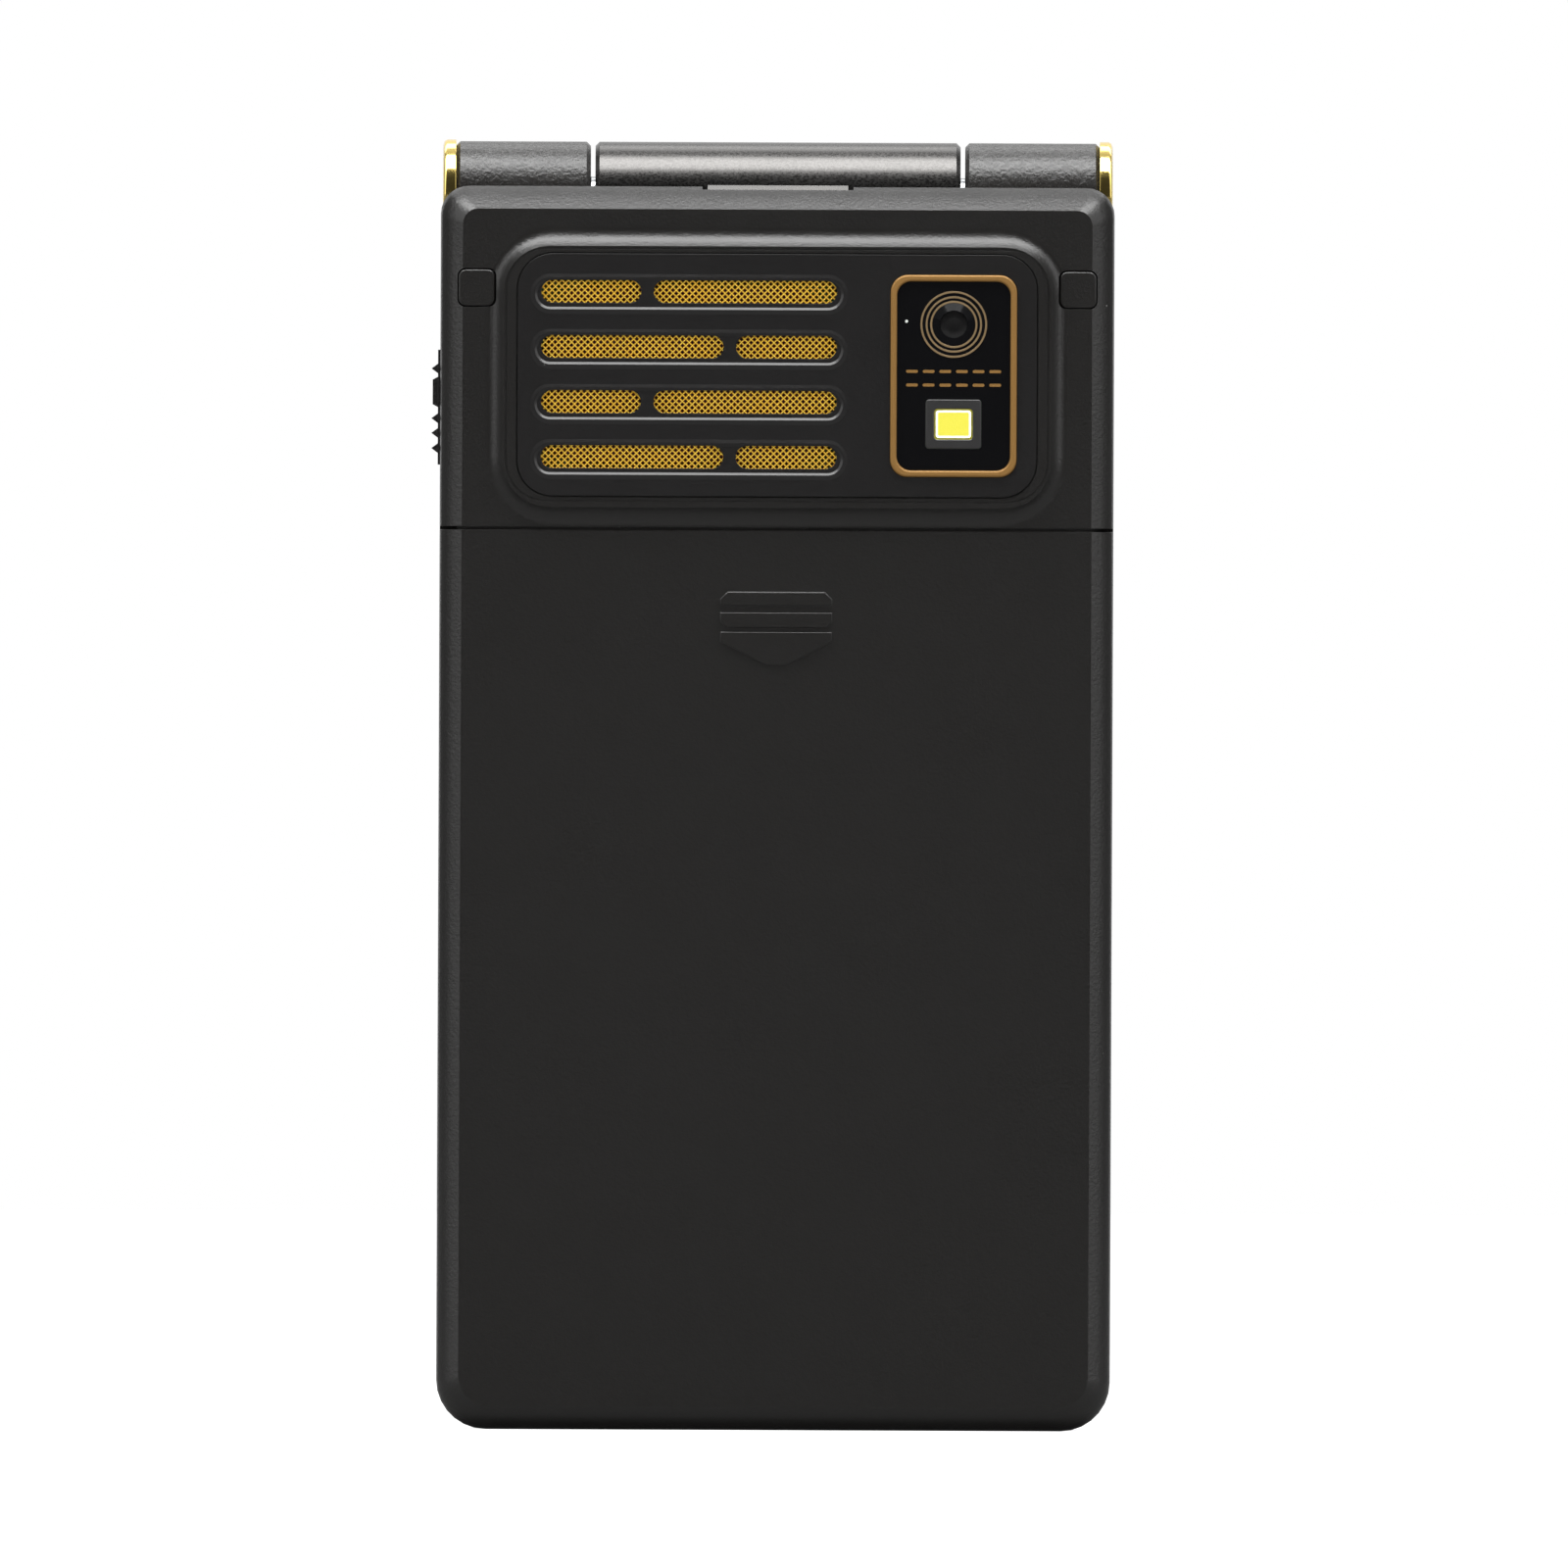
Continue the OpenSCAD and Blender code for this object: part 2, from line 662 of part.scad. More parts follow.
module rear_housing() {
    color([0.11, 0.11, 0.11]) difference() {
        union() {
            base_part(rear_y - 1, split_y, upper_z, base_h + 1);
            base_part(step_y, split_y, -1, upper_z + 1);
            cover_core(0);
            pod();
        }
        hinge_hollow();
        // seat of the panel, the sound opening and the room behind it
        slab(0, panel_z, panel_w + 2 * groove, panel_h + 2 * groove, panel_r + groove,
            ledge_y - 1, face_y + panel_t);
        ledge_groove();
        slab(slot_x, panel_z, slot_l + 1, 3 * slot_pitch + slot_h + 1, 1,
            face_y + panel_t - eps, face_y + panel_t + gauze_t);
        slab(slot_x, panel_z, slot_l - 0.4, 3 * slot_pitch + slot_h - 0.4, 1, ledge_y, shelf_y + 1);
        slab(plate_x, panel_z, plate_w - 1, plate_h - 1, 1, ledge_y, shelf_y + 1);
        block([-room_x, shelf_y, room_z], [room_x, split_y + 1, room_top]);
        // battery bay and the rooms for the board, the card and the socket
        slab(0, battery_z + battery_l / 2, 2 * bay_x, battery_l + 2 * battery_play, 1, wall_y - 1, bay_y);
        block([-board_x - board_play, floor_y, board_z - board_play],
            [board_x + board_play, split_y + 1, board_top + board_play]);
        block([-sim_w / 2 - 0.2 + sim_x, bay_y - 1, sim_z - sim_h / 2 - 0.2],
            [sim_w / 2 + 0.2 + sim_x, board_y, sim_z + sim_h / 2 + 0.2]);
        block([-usb_w / 2 - 0.1, board_y - usb_t - 0.1, -1], [usb_w / 2 + 0.1, split_y + 1, usb_l + 0.4]);
        block([-usb_w / 2 - tab_w - tab_play, board_y - tab_play, core_z],
            [usb_w / 2 + tab_w + tab_play, split_y + 1, board_z + 1]);
        contact_room(0.1);
        for (z = hook_heights()) hook_slot(z);
        // screws
        for (x = [-plug_x, plug_x]) {
            plug_hole(x);
            post(x, plug_z, shank_r, rear_y, split_y + 1);
        }
        for (x = [-screw_x, screw_x], z = [screw_mid, screw_low]) {
            post(x, z, head_r + 0.1, wall_y - 1, screw_y + head_t);
            post(x, z, shank_r, wall_y, split_y + 1);
        }
        // volume key
        side_room();
        // notch in the top edge, and the deeper seat of the barrel's tongue
        block([-tongue_w / 2 - notch_play, ledge_y, base_h - notch_d],
            [tongue_w / 2 + notch_play, hinge_y, base_h + 1]);
        block([-tongue_w / 2 - 0.15, tongue_y - 0.1, base_h - tongue_t - 0.1],
            [tongue_w / 2 + 0.15, hinge_y, base_h + 1]);
    }
}

module keypad_housing() {
    color([0.11, 0.11, 0.11]) difference() {
        base_part(split_y, rim_y + 1, -1, base_h + 1);
        hinge_hollow();
        // sunk deck
        slab(0, (deck_bottom + base_h - deck_top) / 2, 2 * deck_x,
            base_h - deck_top - deck_bottom, 1.5, deck_y, rim_y + 1);
        // room for the mat and the keys' flanges, with a boss round each screw
        difference() {
            slab(0, (mat_z + mat_top) / 2, 2 * mat_x + 0.4, mat_top - mat_z + 0.4, 1, split_y - 1, under_y);
            for (x = [-screw_x, screw_x]) post(x, screw_mid, boss_r, split_y - 1, under_y);
        }
        key_openings();
        for (x = [-screw_x, screw_x], z = [screw_mid, screw_low])
            post(x, z, shank_r, split_y - 1, screw_end(screw_y));
        for (x = [-plug_x, plug_x]) post(x, plug_z, shank_r, split_y - 1, screw_end(rear_y + plug_deep));
        // microphone with its sound hole
        post(mic_x, mic_z, mic_r + 0.1, split_y - 1, split_y + mic_t);
        post(mic_x, mic_z, 0.5, split_y, rim_y + 1);
    }
}

// Depth at which a housing screw ends, for the depth of its head's back
function screw_end(y) = y + head_t + shank_l;

// Every key's opening in the deck
module key_openings() {
    y0 = under_y - 1;
    y1 = rim_y + 1;
    for (i = [0:11]) slab(number_x(i), number_z(i), key_w + 2 * key_gap, key_h + 2 * key_gap,
        key_r + key_gap, y0, y1);
    for (k = side_keys) slab(k[1] * side_key_x, k[2], side_key_w + 2 * key_gap, side_key_h + 2 * key_gap,
        key_r + key_gap, y0, y1);
    post(0, nav_z, nav_r + key_gap, y0, y1);
}

function number_x(i) = (i % 3 - 1) * column_pitch;
function number_z(i) = row_z + floor(i / 3) * row_pitch;

module battery_cover() {
    color([0.12, 0.12, 0.12]) {
        difference() {
            union() {
                base_part(rear_y - 1, cover_y, -1, cover_top);
                thumb_grip();
            }
            cover_core(cover_play);
        }
        for (side = [-1, 1], z = hook_heights()) mirror([side < 0 ? 1 : 0, 0, 0])
            block([core_x - hook_in + 0.15, cover_y - hook_t, z],
                [core_x + cover_play + 0.3, cover_y, z + hook_l]);
    }
}

// Two bars and a blunt arrow that the thumb pushes, raised on the cover
module thumb_grip() {
    top = cover_top - grip_drop;
    x = grip_w / 2;
    translate([0, rear_y + 0.2, 0]) rotate([90, 0, 0]) linear_extrude(grip_rise + 0.2) {
        polygon([[-x + 0.6, top], [x - 0.6, top], [x, top - 0.6], [x, top - 1.1],
            [-x, top - 1.1], [-x, top - 0.6]]);
        polygon([[-x, top - 1.75], [x, top - 1.75], [x, top - 2.5], [x - 0.5, top - 3],
            [-x + 0.5, top - 3], [-x, top - 2.5]]);
        polygon([[-x, top - 3.4], [x, top - 3.4], [x, top - 4.2], [0.9, top - 6.2],
            [-0.9, top - 6.2], [-x, top - 4.2]]);
    }
}

// ---------- hinge ----------

can_end = barrel_x - 0.1;
can_start = can_end - can_l;
can_in = can_r - can_wall;
rotor_x = can_end - 0.8 - 0.1 - 2.6;
cam_x = rotor_x - cam_rise - 0.05;

// The middle barrel with its saddle, its tongue and the bores for cartridge, pivot and cable
module hinge_barrel() {
    color([0.35, 0.35, 0.36]) difference() {
        union() {
            knuckle(hinge_r, -barrel_x, barrel_x, end_chamfer);
            intersection() {
                axle(hollow_r - 0.05, 0.6 - barrel_x, barrel_x - 0.6);
                block([-barrel_x, hinge_y - 2 * hinge_r, hinge_z - 2 * hinge_r],
                    [barrel_x, hinge_y - 0.2, hinge_z]);
            }
            translate([-tongue_w / 2, 0, 0]) rotate([90, 0, 90]) linear_extrude(tongue_w)
                polygon([[tongue_y, base_h - tongue_t], [hinge_y - 3, base_h - tongue_t],
                    [hinge_y - 3, base_h + tongue_rise], [tongue_y + tongue_chamfer, base_h + tongue_rise],
                    [tongue_y, base_h + tongue_rise - tongue_chamfer]]);
        }
        axle(can_r + 0.02, can_start - 0.1, barrel_x + 1);
        axle(neck_r + neck_clear, -barrel_x - 1, -barrel_x + 4);
        axle(can_r, -barrel_x + 3.6, can_start - 1);
    }
}

module hinge_can() {
    color("silver") difference() {
        axle(can_r, can_start, can_end);
        axle(can_in, can_start + 0.6, can_end - 0.8);
        axle(neck_r + neck_clear, can_end - 1, can_end + 1);
    }
}

// Coil of round wire about the hinge axis
module hinge_spring() {
    x0 = can_start + 0.6 + wire_d / 2;
    x1 = cam_x - cam_l - wire_d / 2;
    coil_r = can_in - 0.15 - wire_d / 2;
    steps = spring_turns * 16;
    color("silver") translate([0, hinge_y, hinge_z]) loft([for (i = [0:steps])
        let (a = 360 * spring_turns * i / steps, x = x0 + (x1 - x0) * i / steps)
        [for (j = [0:7]) let (d = coil_r + wire_d / 2 * cos(45 * j))
            [x + wire_d / 2 * sin(45 * j), d * cos(a), d * sin(a)]]]);
}

// Wedge across the hinge axis with its edge towards -X at x
module wedge(x, rise, half) {
    translate([x, hinge_y, hinge_z - half]) linear_extrude(2 * half)
        polygon([[0, 0], [rise, -1.6 * rise], [rise + 0.3, -1.6 * rise],
            [rise + 0.3, 1.6 * rise], [rise, 1.6 * rise]]);
}

module hinge_cam() {
    color("silver") difference() {
        axle(can_in - 0.1, cam_x - cam_l, cam_x);
        wedge(cam_x - cam_rise, cam_rise, can_r);
    }
}

// The part of the cartridge that turns with the lid
module hinge_rotor() {
    color("silver") {
        intersection() {
            union() {
                axle(can_r, rotor_x, can_end - 0.9);
                wedge(rotor_x - cam_rise, cam_rise, can_r);
            }
            axle(can_in - 0.1, rotor_x - 1, can_end);
        }
        axle(neck_r, can_end - 1, knuckle_x + 1);
        axle_square(key_square, knuckle_x, knuckle_x + key_reach);
    }
}

// Square bar along the hinge axis
module axle_square(side, x0, x1) {
    block([x0, hinge_y - side / 2, hinge_z - side / 2], [x1, hinge_y + side / 2, hinge_z + side / 2]);
}

module pivot_bush() {
    color("silver") difference() {
        union() {
            axle(neck_r, -knuckle_x - 1, -barrel_x + 3.5);
            axle_square(key_square, -knuckle_x - key_reach, -knuckle_x);
        }
        axle(cable_r, -knuckle_x - key_reach - 1, 0);
    }
}

// ---------- panel, sound and camera ----------

// Bevelled slot with round ends: width l and height h at the face, narrowing by in over its depth
module bevelled_slot(x, z, l, h, in, y0, depth) {
    half = l / 2 - h / 2;
    k = h / 2 - in;
    for (side = [-1, 1]) translate([x + side * half, y0 + depth, z]) rotate([90, 0, 0])
        cylinder(r1 = k, r2 = h / 2, h = depth);
    translate([x - half, 0, z]) rotate([90, 0, 90]) linear_extrude(2 * half)
        polygon([[y0, -h / 2], [y0 + depth, -k], [y0 + depth, k], [y0, h / 2]]);
}

// Straight slot with round ends from x0 to x1
module window(x0, x1, z, h, y0, y1) {
    post(x0 + h / 2, z, h / 2, y0, y1);
    post(x1 - h / 2, z, h / 2, y0, y1);
    block([x0 + h / 2, y0, z - h / 2], [x1 - h / 2, y1, z + h / 2]);
}

function row_height(row) = panel_z - slot_low + (1.5 - row) * slot_pitch;

// Raised bead round a slot at height z, sloping down to the panel's face
module slot_bead(z) {
    mirror([0, 1, 0]) bevelled_slot(slot_x, z, slot_l + 2 * bead_w, slot_h + 2 * bead_w, bead_w - bead_land,
        -face_y - eps, bead_h + eps);
}

module speaker_panel() {
    y0 = face_y - 1;
    y1 = face_y + panel_t + 1;
    color([0.12, 0.12, 0.12]) difference() {
        union() {
            slab(0, panel_z, panel_w, panel_h, panel_r, face_y, face_y + panel_t);
            for (row = [0:3]) slot_bead(row_height(row));
        }
        for (row = [0:3]) {
            z = row_height(row);
            bridge = slot_x + (row % 2 == 0 ? bridge_a : bridge_b);
            bevelled_slot(slot_x, z, slot_l, slot_h, slot_in, face_y - bead_h, slot_d + bead_h);
            bevelled_slot(slot_x, z, slot_l, slot_h, 0, y0 - 1, face_y - bead_h - y0 + 1);
            window(slot_x - window_x, bridge - bridge_w / 2, z + window_up, window_h, y0, y1);
            window(bridge + bridge_w / 2, slot_x + window_x, z + window_up, window_h, y0, y1);
        }
        slab(plate_x, panel_z, plate_w + 0.06, plate_h + 0.06, plate_r, y0, plate_y);
        slab(plate_x, panel_z, plate_w - 2, plate_h - 2, 1, y0, y1);
    }
}

module speaker_mesh() {
    color([0.8, 0.6, 0.15])
        slab(slot_x, panel_z, slot_l + 0.8, 3 * slot_pitch + slot_h + 0.8, 0.9,
            face_y + panel_t, face_y + panel_t + gauze_t);
}

module loudspeaker() {
    back = shelf_y + speaker_t;
    color([0.2, 0.2, 0.2]) difference() {
        union() {
            slab(slot_x, panel_z, speaker_w, speaker_h, 3, shelf_y, back - 0.8);
            slab(slot_x, panel_z, speaker_w - 8, speaker_h - 5, 2, shelf_y, back);
        }
        slab(slot_x, panel_z, speaker_w - 3, speaker_h - 3, 2.5, shelf_y - 1, shelf_y + 0.5);
    }
}

module camera_bezel() {
    color([0.75, 0.55, 0.25]) difference() {
        slab(plate_x, panel_z, plate_w, plate_h, plate_r, face_y - border_proud, plate_y);
        slab(plate_x, panel_z, plate_w - 2 * border_w, plate_h - 2 * border_w, plate_r - border_w / 2,
            face_y - 1, plate_y + 1);
    }
}

module camera_plate() {
    in = 2 * border_w + 0.04;
    color([0.03, 0.03, 0.03]) difference() {
        slab(plate_x, panel_z, plate_w - in, plate_h - in, plate_r - border_w / 2, glass_y, plate_y);
        post(plate_x, lens_zz, lens_r, glass_y - 1, plate_y + 1);
        slab(plate_x, flash_zz, flash_w + 0.04, flash_h + 0.04, 0.3, glass_y - 1, plate_y + 1);
    }
}

module lens_rings() {
    color([0.7, 0.5, 0.25]) for (r = ring_radii) difference() {
        post(plate_x, lens_zz, r, glass_y - 0.08, glass_y);
        post(plate_x, lens_zz, r - ring_w, glass_y - 1, glass_y + 1);
    }
}

// Lens barrel with a domed front glass on a square housing that sits on the board
module camera_module() {
    front = glass_y + 0.12;
    color([0.05, 0.05, 0.06]) {
        translate([plate_x, plate_y + 0.2, lens_zz]) rotate([90, 0, 0]) rotate_extrude()
            polygon([[0, 0], [lens_r - 0.05, 0], [lens_r - 0.05, plate_y + 0.2 - front],
                [lens_r - 0.35, plate_y + 0.2 - front], [lens_r - 0.5, plate_y - front],
                [0, plate_y + 0.15 - front]]);
        post(plate_x, lens_zz, camera_r, plate_y + 0.1, shelf_y + 2 * camera_play);
        slab(plate_x, lens_zz, camera_w, camera_w, 0.6, shelf_y + camera_play, board_y);
    }
}

module flash_window() {
    color([0.2, 0.2, 0.2]) difference() {
        slab(plate_x, flash_zz, flash_w, flash_h, 0.28, glass_y - 0.05, plate_y);
        slab(plate_x, flash_zz, led_w + 0.3, led_h + 0.3, 0.3, glass_y - 1, plate_y + 1);
    }
}

module flash_led() {
    color([0.95, 0.9, 0.3]) {
        slab(plate_x, flash_zz, led_w, led_h, 0.25, glass_y + 0.05, plate_y + 0.1);
        slab(plate_x, flash_zz, 4, 3.4, 0.2, plate_y + 0.02, shelf_y - 0.4);
        slab(plate_x, flash_zz, 1.6, 1.6, 0.2, shelf_y - 0.5, board_y);
    }
}

// ---------- inside the base ----------

module main_board() {
    color([0.05, 0.3, 0.15]) {
        block([-board_x, board_y, board_z], [board_x, split_y, board_top]);
        block([-usb_w / 2 - tab_w, board_y, core_z + tab_play], [usb_w / 2 + tab_w, split_y, board_z + 1]);
    }
    color("silver") {
        block([-board_x + 3.8, board_y - 1.1, room_z + 1.5], [-0.5, board_y + eps, room_z + 13.5]);
        block([-8, board_y - 1.1, room_z + 15], [6, board_y + eps, room_z + 19.5]);
    }
}

module battery() {
    color([0.25, 0.27, 0.3])
        slab(0, battery_z + battery_l / 2, battery_w, battery_l, 1, battery_y, battery_y + battery_t);
}

// Room for the contact block above the battery, with play p round it
module contact_room(p) {
    block([-contact_w / 2 - p, bay_y - contact_t - p, battery_top],
        [contact_w / 2 + p, board_y + p, battery_top + battery_play + 0.3 + contact_h + p]);
}

module battery_contacts() {
    z = battery_top + battery_play + 0.3;
    color([0.1, 0.1, 0.1])
        block([-contact_w / 2, bay_y - contact_t, z], [contact_w / 2, board_y, z + contact_h]);
    color("gold") for (x = [-1, 0, 1]) translate([x * contact_w / 3.4, 0, 0])
        block([-0.6, bay_y - contact_t + 0.5, battery_top + 0.03], [0.6, bay_y - 0.6, z + 0.1]);
}

module sim_holder() {
    y0 = board_y - sim_t;
    color("silver") difference() {
        block([sim_x - sim_w / 2, y0, sim_z - sim_h / 2], [sim_x + sim_w / 2, board_y, sim_z + sim_h / 2]);
        block([sim_x - sim_w / 2 - 1, y0 + 0.3, sim_z - sim_h / 2 + 1],
            [sim_x + sim_w / 2 - 1, board_y - 0.2, sim_z + sim_h / 2 - 1]);
        block([sim_x - 5, y0 - 1, sim_z - sim_h / 2 + 3], [sim_x + 7, y0 + 1, sim_z + sim_h / 2 - 3]);
    }
}

module usb_socket() {
    y0 = board_y - usb_t;
    color("silver") difference() {
        block([-usb_w / 2, y0, 0.5], [usb_w / 2, board_y, usb_l + 0.2]);
        block([-usb_w / 2 + 0.3, y0 + 0.3, -1], [usb_w / 2 - 0.3, board_y - 0.3, usb_l - 0.8]);
    }
    color([0.1, 0.1, 0.1])
        block([-usb_w / 2 + 1.5, y0 + usb_t / 2 - 0.3, 1], [usb_w / 2 - 1.5, y0 + usb_t / 2 + 0.3, usb_l]);
}

module keypad_mat() {
    back = mat_y - mat_t;
    color([0.6, 0.62, 0.6]) {
        difference() {
            slab(0, (mat_z + mat_top) / 2, 2 * mat_x, mat_top - mat_z, 1, back, mat_y);
            for (x = [-screw_x, screw_x]) post(x, screw_mid, boss_r + 0.15, back - 1, mat_y + 1);
        }
        for (i = [0:11]) post(number_x(i), number_z(i), dome_r, back - dome_h, back + eps);
        for (k = side_keys) post(k[1] * side_key_x, k[2], dome_r, back - dome_h, back + eps);
        for (z = [-1, 0, 1]) post(0, nav_z + z * (nav_r + nav_hole_r) / 2, dome_r, back - dome_h, back + eps);
    }
}

// Motor can with a half-round weight on its shaft
module vibration_motor() {
    z = room_z + motor_r + 0.1;
    y = board_y - motor_r - 0.05;
    color("silver") translate([motor_x, y, z]) rotate([0, 90, 0]) {
        cylinder(r = motor_r, h = 6);
        cylinder(r = 0.4, h = 9);
        translate([0, 0, 6.5]) intersection() {
            cylinder(r = motor_r - 0.1, h = 2.5);
            translate([-0.5, -5, 0]) cube([10, 10, 3]);
        }
    }
}

module microphone() {
    color("silver") post(mic_x, mic_z, mic_r, split_y + 0.02, split_y + mic_t);
}

// Screw with its head's back at depth y
module screw(x, y, z, length) {
    color([0.3, 0.3, 0.3]) {
        difference() {
            post(x, z, head_r, y, y + head_t);
            translate([x, y + 0.35, z]) rotate([90, 0, 0]) cylinder(r = head_r * 0.45, h = 1, $fn = 6);
        }
        post(x, z, shank_r - 0.02, y + head_t / 2, y + head_t + length - 0.05);
    }
}

module housing_screws() {
    for (x = [-plug_x, plug_x]) screw(x, rear_y + plug_deep, plug_z, shank_l);
    for (x = [-screw_x, screw_x], z = [screw_mid, screw_low]) screw(x, screw_y, z, shank_l);
}

module screw_plugs() {
    color([0.1, 0.1, 0.1]) for (x = [-plug_x, plug_x])
        slab(x, plug_z, plug_w, plug_w, 0.65, rear_y, rear_y + plug_deep);
}

// ---------- keys ----------

// Key with a cushioned cap and a flange that keeps it under the deck
module key(x, z, w, h) {
    cap(x, z, w, h, key_r, key_bottom, key_top, 0.22);
    slab(x, z, w + 2 * flange_w, h + 2 * flange_w, key_r, key_bottom, key_bottom + flange_t);
}

module number_key(i) {
    color([0.16, 0.16, 0.17]) key(number_x(i), number_z(i), key_w, key_h);
}

module side_key(k) {
    color(k[0] == "call_key" ? [0.1, 0.5, 0.2] : k[0] == "end_key" ? [0.6, 0.1, 0.1] : [0.16, 0.16, 0.17])
        key(k[1] * side_key_x, k[2], side_key_w, side_key_h);
}

// Turned key on a vertical middle: outer radius r1, bore r0, from depth y0 to y1
module round_key(r0, r1, y0, y1, soft) {
    h = y1 - y0;
    translate([0, y1, nav_z]) rotate([90, 0, 0]) rotate_extrude()
        polygon([[r0, h], [r1, h], [r1, soft], [r1 - soft * 0.3, soft * 0.3], [r1 - soft, 0],
            [r0 + (r0 > 0 ? soft : 0), 0], [r0 + (r0 > 0 ? soft * 0.3 : 0), soft * 0.3], [r0, soft]]);
}

module nav_ring() {
    color([0.7, 0.55, 0.2]) round_key(nav_hole_r, nav_r, key_bottom, key_top - 0.15, 0.5);
}

module ok_key() {
    color([0.16, 0.16, 0.17]) round_key(0, ok_r, key_bottom, key_top, 0.4);
}

// Room that the volume key rocks in
module side_room() {
    x = side_x - side_lip;
    block([-side_x - 1, side_y - side_w / 2 - 0.2, side_z - side_l / 2 - 0.2],
        [-x + 0.1, side_y + side_w / 2 + 0.2, side_z + side_l / 2 + 0.2]);
    block([-x, side_y - side_w / 2 - 0.6, side_z - side_l / 2 - 0.9],
        [-x + 1.5, side_y + side_w / 2 + 0.6, side_z + side_l / 2 + 0.9]);
}

module volume_key() {
    face = -side_x - side_proud;
    x = -side_x + side_lip;
    y0 = side_y - side_w / 2;
    color([0.1, 0.1, 0.1]) {
        block([face, y0, side_z - side_l / 2], [x + 0.5, y0 + side_w, side_z + side_l / 2]);
        block([x + 0.35, y0 - 0.4, side_z - side_l / 2 - 0.5],
            [x + 0.35 + side_flange, y0 + side_w + 0.4, side_z + side_l / 2 + 0.5]);
        block([x + 0.4, y0 + 0.5, side_z - 0.5], [x + 1.45, y0 + side_w - 0.5, side_z + 0.5]);
        translate([face + eps, y0 + 0.15, side_z]) rotate([-90, 0, 0]) linear_extrude(side_w - 0.3) {
            polygon([[0, -2.6], [-ridge_h + 0.1, -2.35], [-ridge_h + 0.1, -0.25], [0, 0]]);
            for (v = [-3.3, 0.95, 2.2, 3.5]) polygon([[0, v - 0.42], [-ridge_h, v], [0, v + 0.42]]);
        }
    }
}

// ---------- lid ----------

// Lid ring: depth y and inset all round
function lid_ring(y, in) = ring(y, lid_x - in, in, lid_top - in * 0.5, max(lid_corner - in * 0.4, 0.8), 1);

// The closed outer form of the lid
module lid_form() {
    loft(concat([lid_ring(lid_in_y, 0.3), lid_ring(lid_in_y + 0.1, 0.1), lid_ring(lid_in_y + 0.3, 0)],
        [for (a = [0:18:90]) lid_ring(lid_out_y - lid_round * (1 - sin(a)), lid_round * (1 - cos(a)))]));
}

module lid_cover() {
    color([0.1, 0.1, 0.1]) difference() {
        union() {
            difference() {
                intersection() {
                    lid_form();
                    block([-side_x, lid_mid_y, -1], [side_x, lid_out_y + 1, phone_h]);
                }
                axle(lid_cut_r, -knuckle_x, knuckle_x);
                difference() {
                    block([-lid_x + lid_wall, lid_mid_y - 1, lid_wall + 0.4],
                        [lid_x - lid_wall, lid_out_y - lid_wall, lid_top - 8]);
                    for (x = [-lid_screw_x, lid_screw_x], z = lid_screw_z)
                        post(x, z, boss_r, lid_mid_y - 2, lid_out_y);
                }
            }
            for (side = [0, 1]) mirror([side, 0, 0]) knuckle(hinge_r, knuckle_x, lid_x, end_chamfer);
        }
        axle_square(key_square + 0.1, -knuckle_x - key_reach - 0.1, -knuckle_x + 1);
        axle_square(key_square + 0.1, knuckle_x - 1, knuckle_x + key_reach + 0.1);
        for (x = [-lid_screw_x, lid_screw_x], z = lid_screw_z)
            post(x, z, shank_r, lid_mid_y - 1, lid_in_y + 0.2 + head_t + lid_screw_l);
        slab(0, outer_z, outer_w + 2 * glass_play, outer_h + 2 * glass_play, glass_r + glass_play,
            lid_out_y - glass_t, lid_out_y + 1);
        slab(0, outer_z, outer_w - 4, outer_h - 4, 1, lid_out_y - lid_wall - 1, lid_out_y);
    }
}

module lid_frame() {
    lens_z = lens_bottom + lens_h / 2;
    color([0.1, 0.1, 0.1]) difference() {
        intersection() {
            lid_form();
            block([-side_x, lid_in_y - 1, -1], [side_x, lid_mid_y, phone_h]);
        }
        axle(lid_cut_r, -side_x, side_x);
        slab(0, lens_z, lens_w + 2 * glass_play, lens_h + 2 * glass_play, glass_r + glass_play,
            lid_in_y - 1, lid_in_y + glass_t);
        slab(0, lens_z, lens_w - 2.8, lens_h - 5.8, 1, lid_in_y, lid_mid_y + 1);
        window(-ear_l / 2, ear_l / 2, ear_z, ear_h, lid_in_y - 1, ear_y + 0.4);
        slab(0, ear_z, ear_l + 3.2, 8.2, 1.5, ear_y + 0.3, lid_mid_y + 1);
        for (x = [-lid_screw_x, lid_screw_x], z = lid_screw_z) {
            post(x, z, head_r + 0.1, lid_in_y - 1, lid_in_y + 0.2 + head_t);
            post(x, z, shank_r, lid_in_y, lid_mid_y + 1);
        }
        for (x = [-bumper_x, bumper_x]) post(x, bumper_z, bumper_r, lid_in_y - 1, lid_in_y + 0.5);
    }
}

// Rail along one side of the lid with a round end about the hinge axis
module rail(x0, x1) {
    y1 = lid_out_y - rail_drop;
    color([0.85, 0.65, 0.2]) {
        translate([x0, 0, 0]) rotate([90, 0, 90]) linear_extrude(x1 - x0)
            polygon([[y1 - rail_t + 1, rail_z], [y1 - 1, rail_z], [y1, rail_z + 1], [y1, hinge_z],
                [hinge_y, hinge_z + 1], [y1 - rail_t, hinge_z], [y1 - rail_t, rail_z + 1]]);
        mirror([x1 < 0 ? 1 : 0, 0, 0]) translate([min(abs(x0), abs(x1)), hinge_y, hinge_z])
            rotate([0, 90, 0]) rotate_extrude(convexity = 2)
            polygon([[0, 0], [rail_end_r, 0], [rail_end_r, rail_w - 0.35], [rail_end_r - 0.12, rail_w - 0.12],
                [rail_end_r - 0.4, rail_w], [0, rail_w]]);
    }
}

module rail_left() {
    rail(-lid_x - rail_w, -lid_x);
}

module rail_right() {
    rail(lid_x, lid_x + rail_w);
}

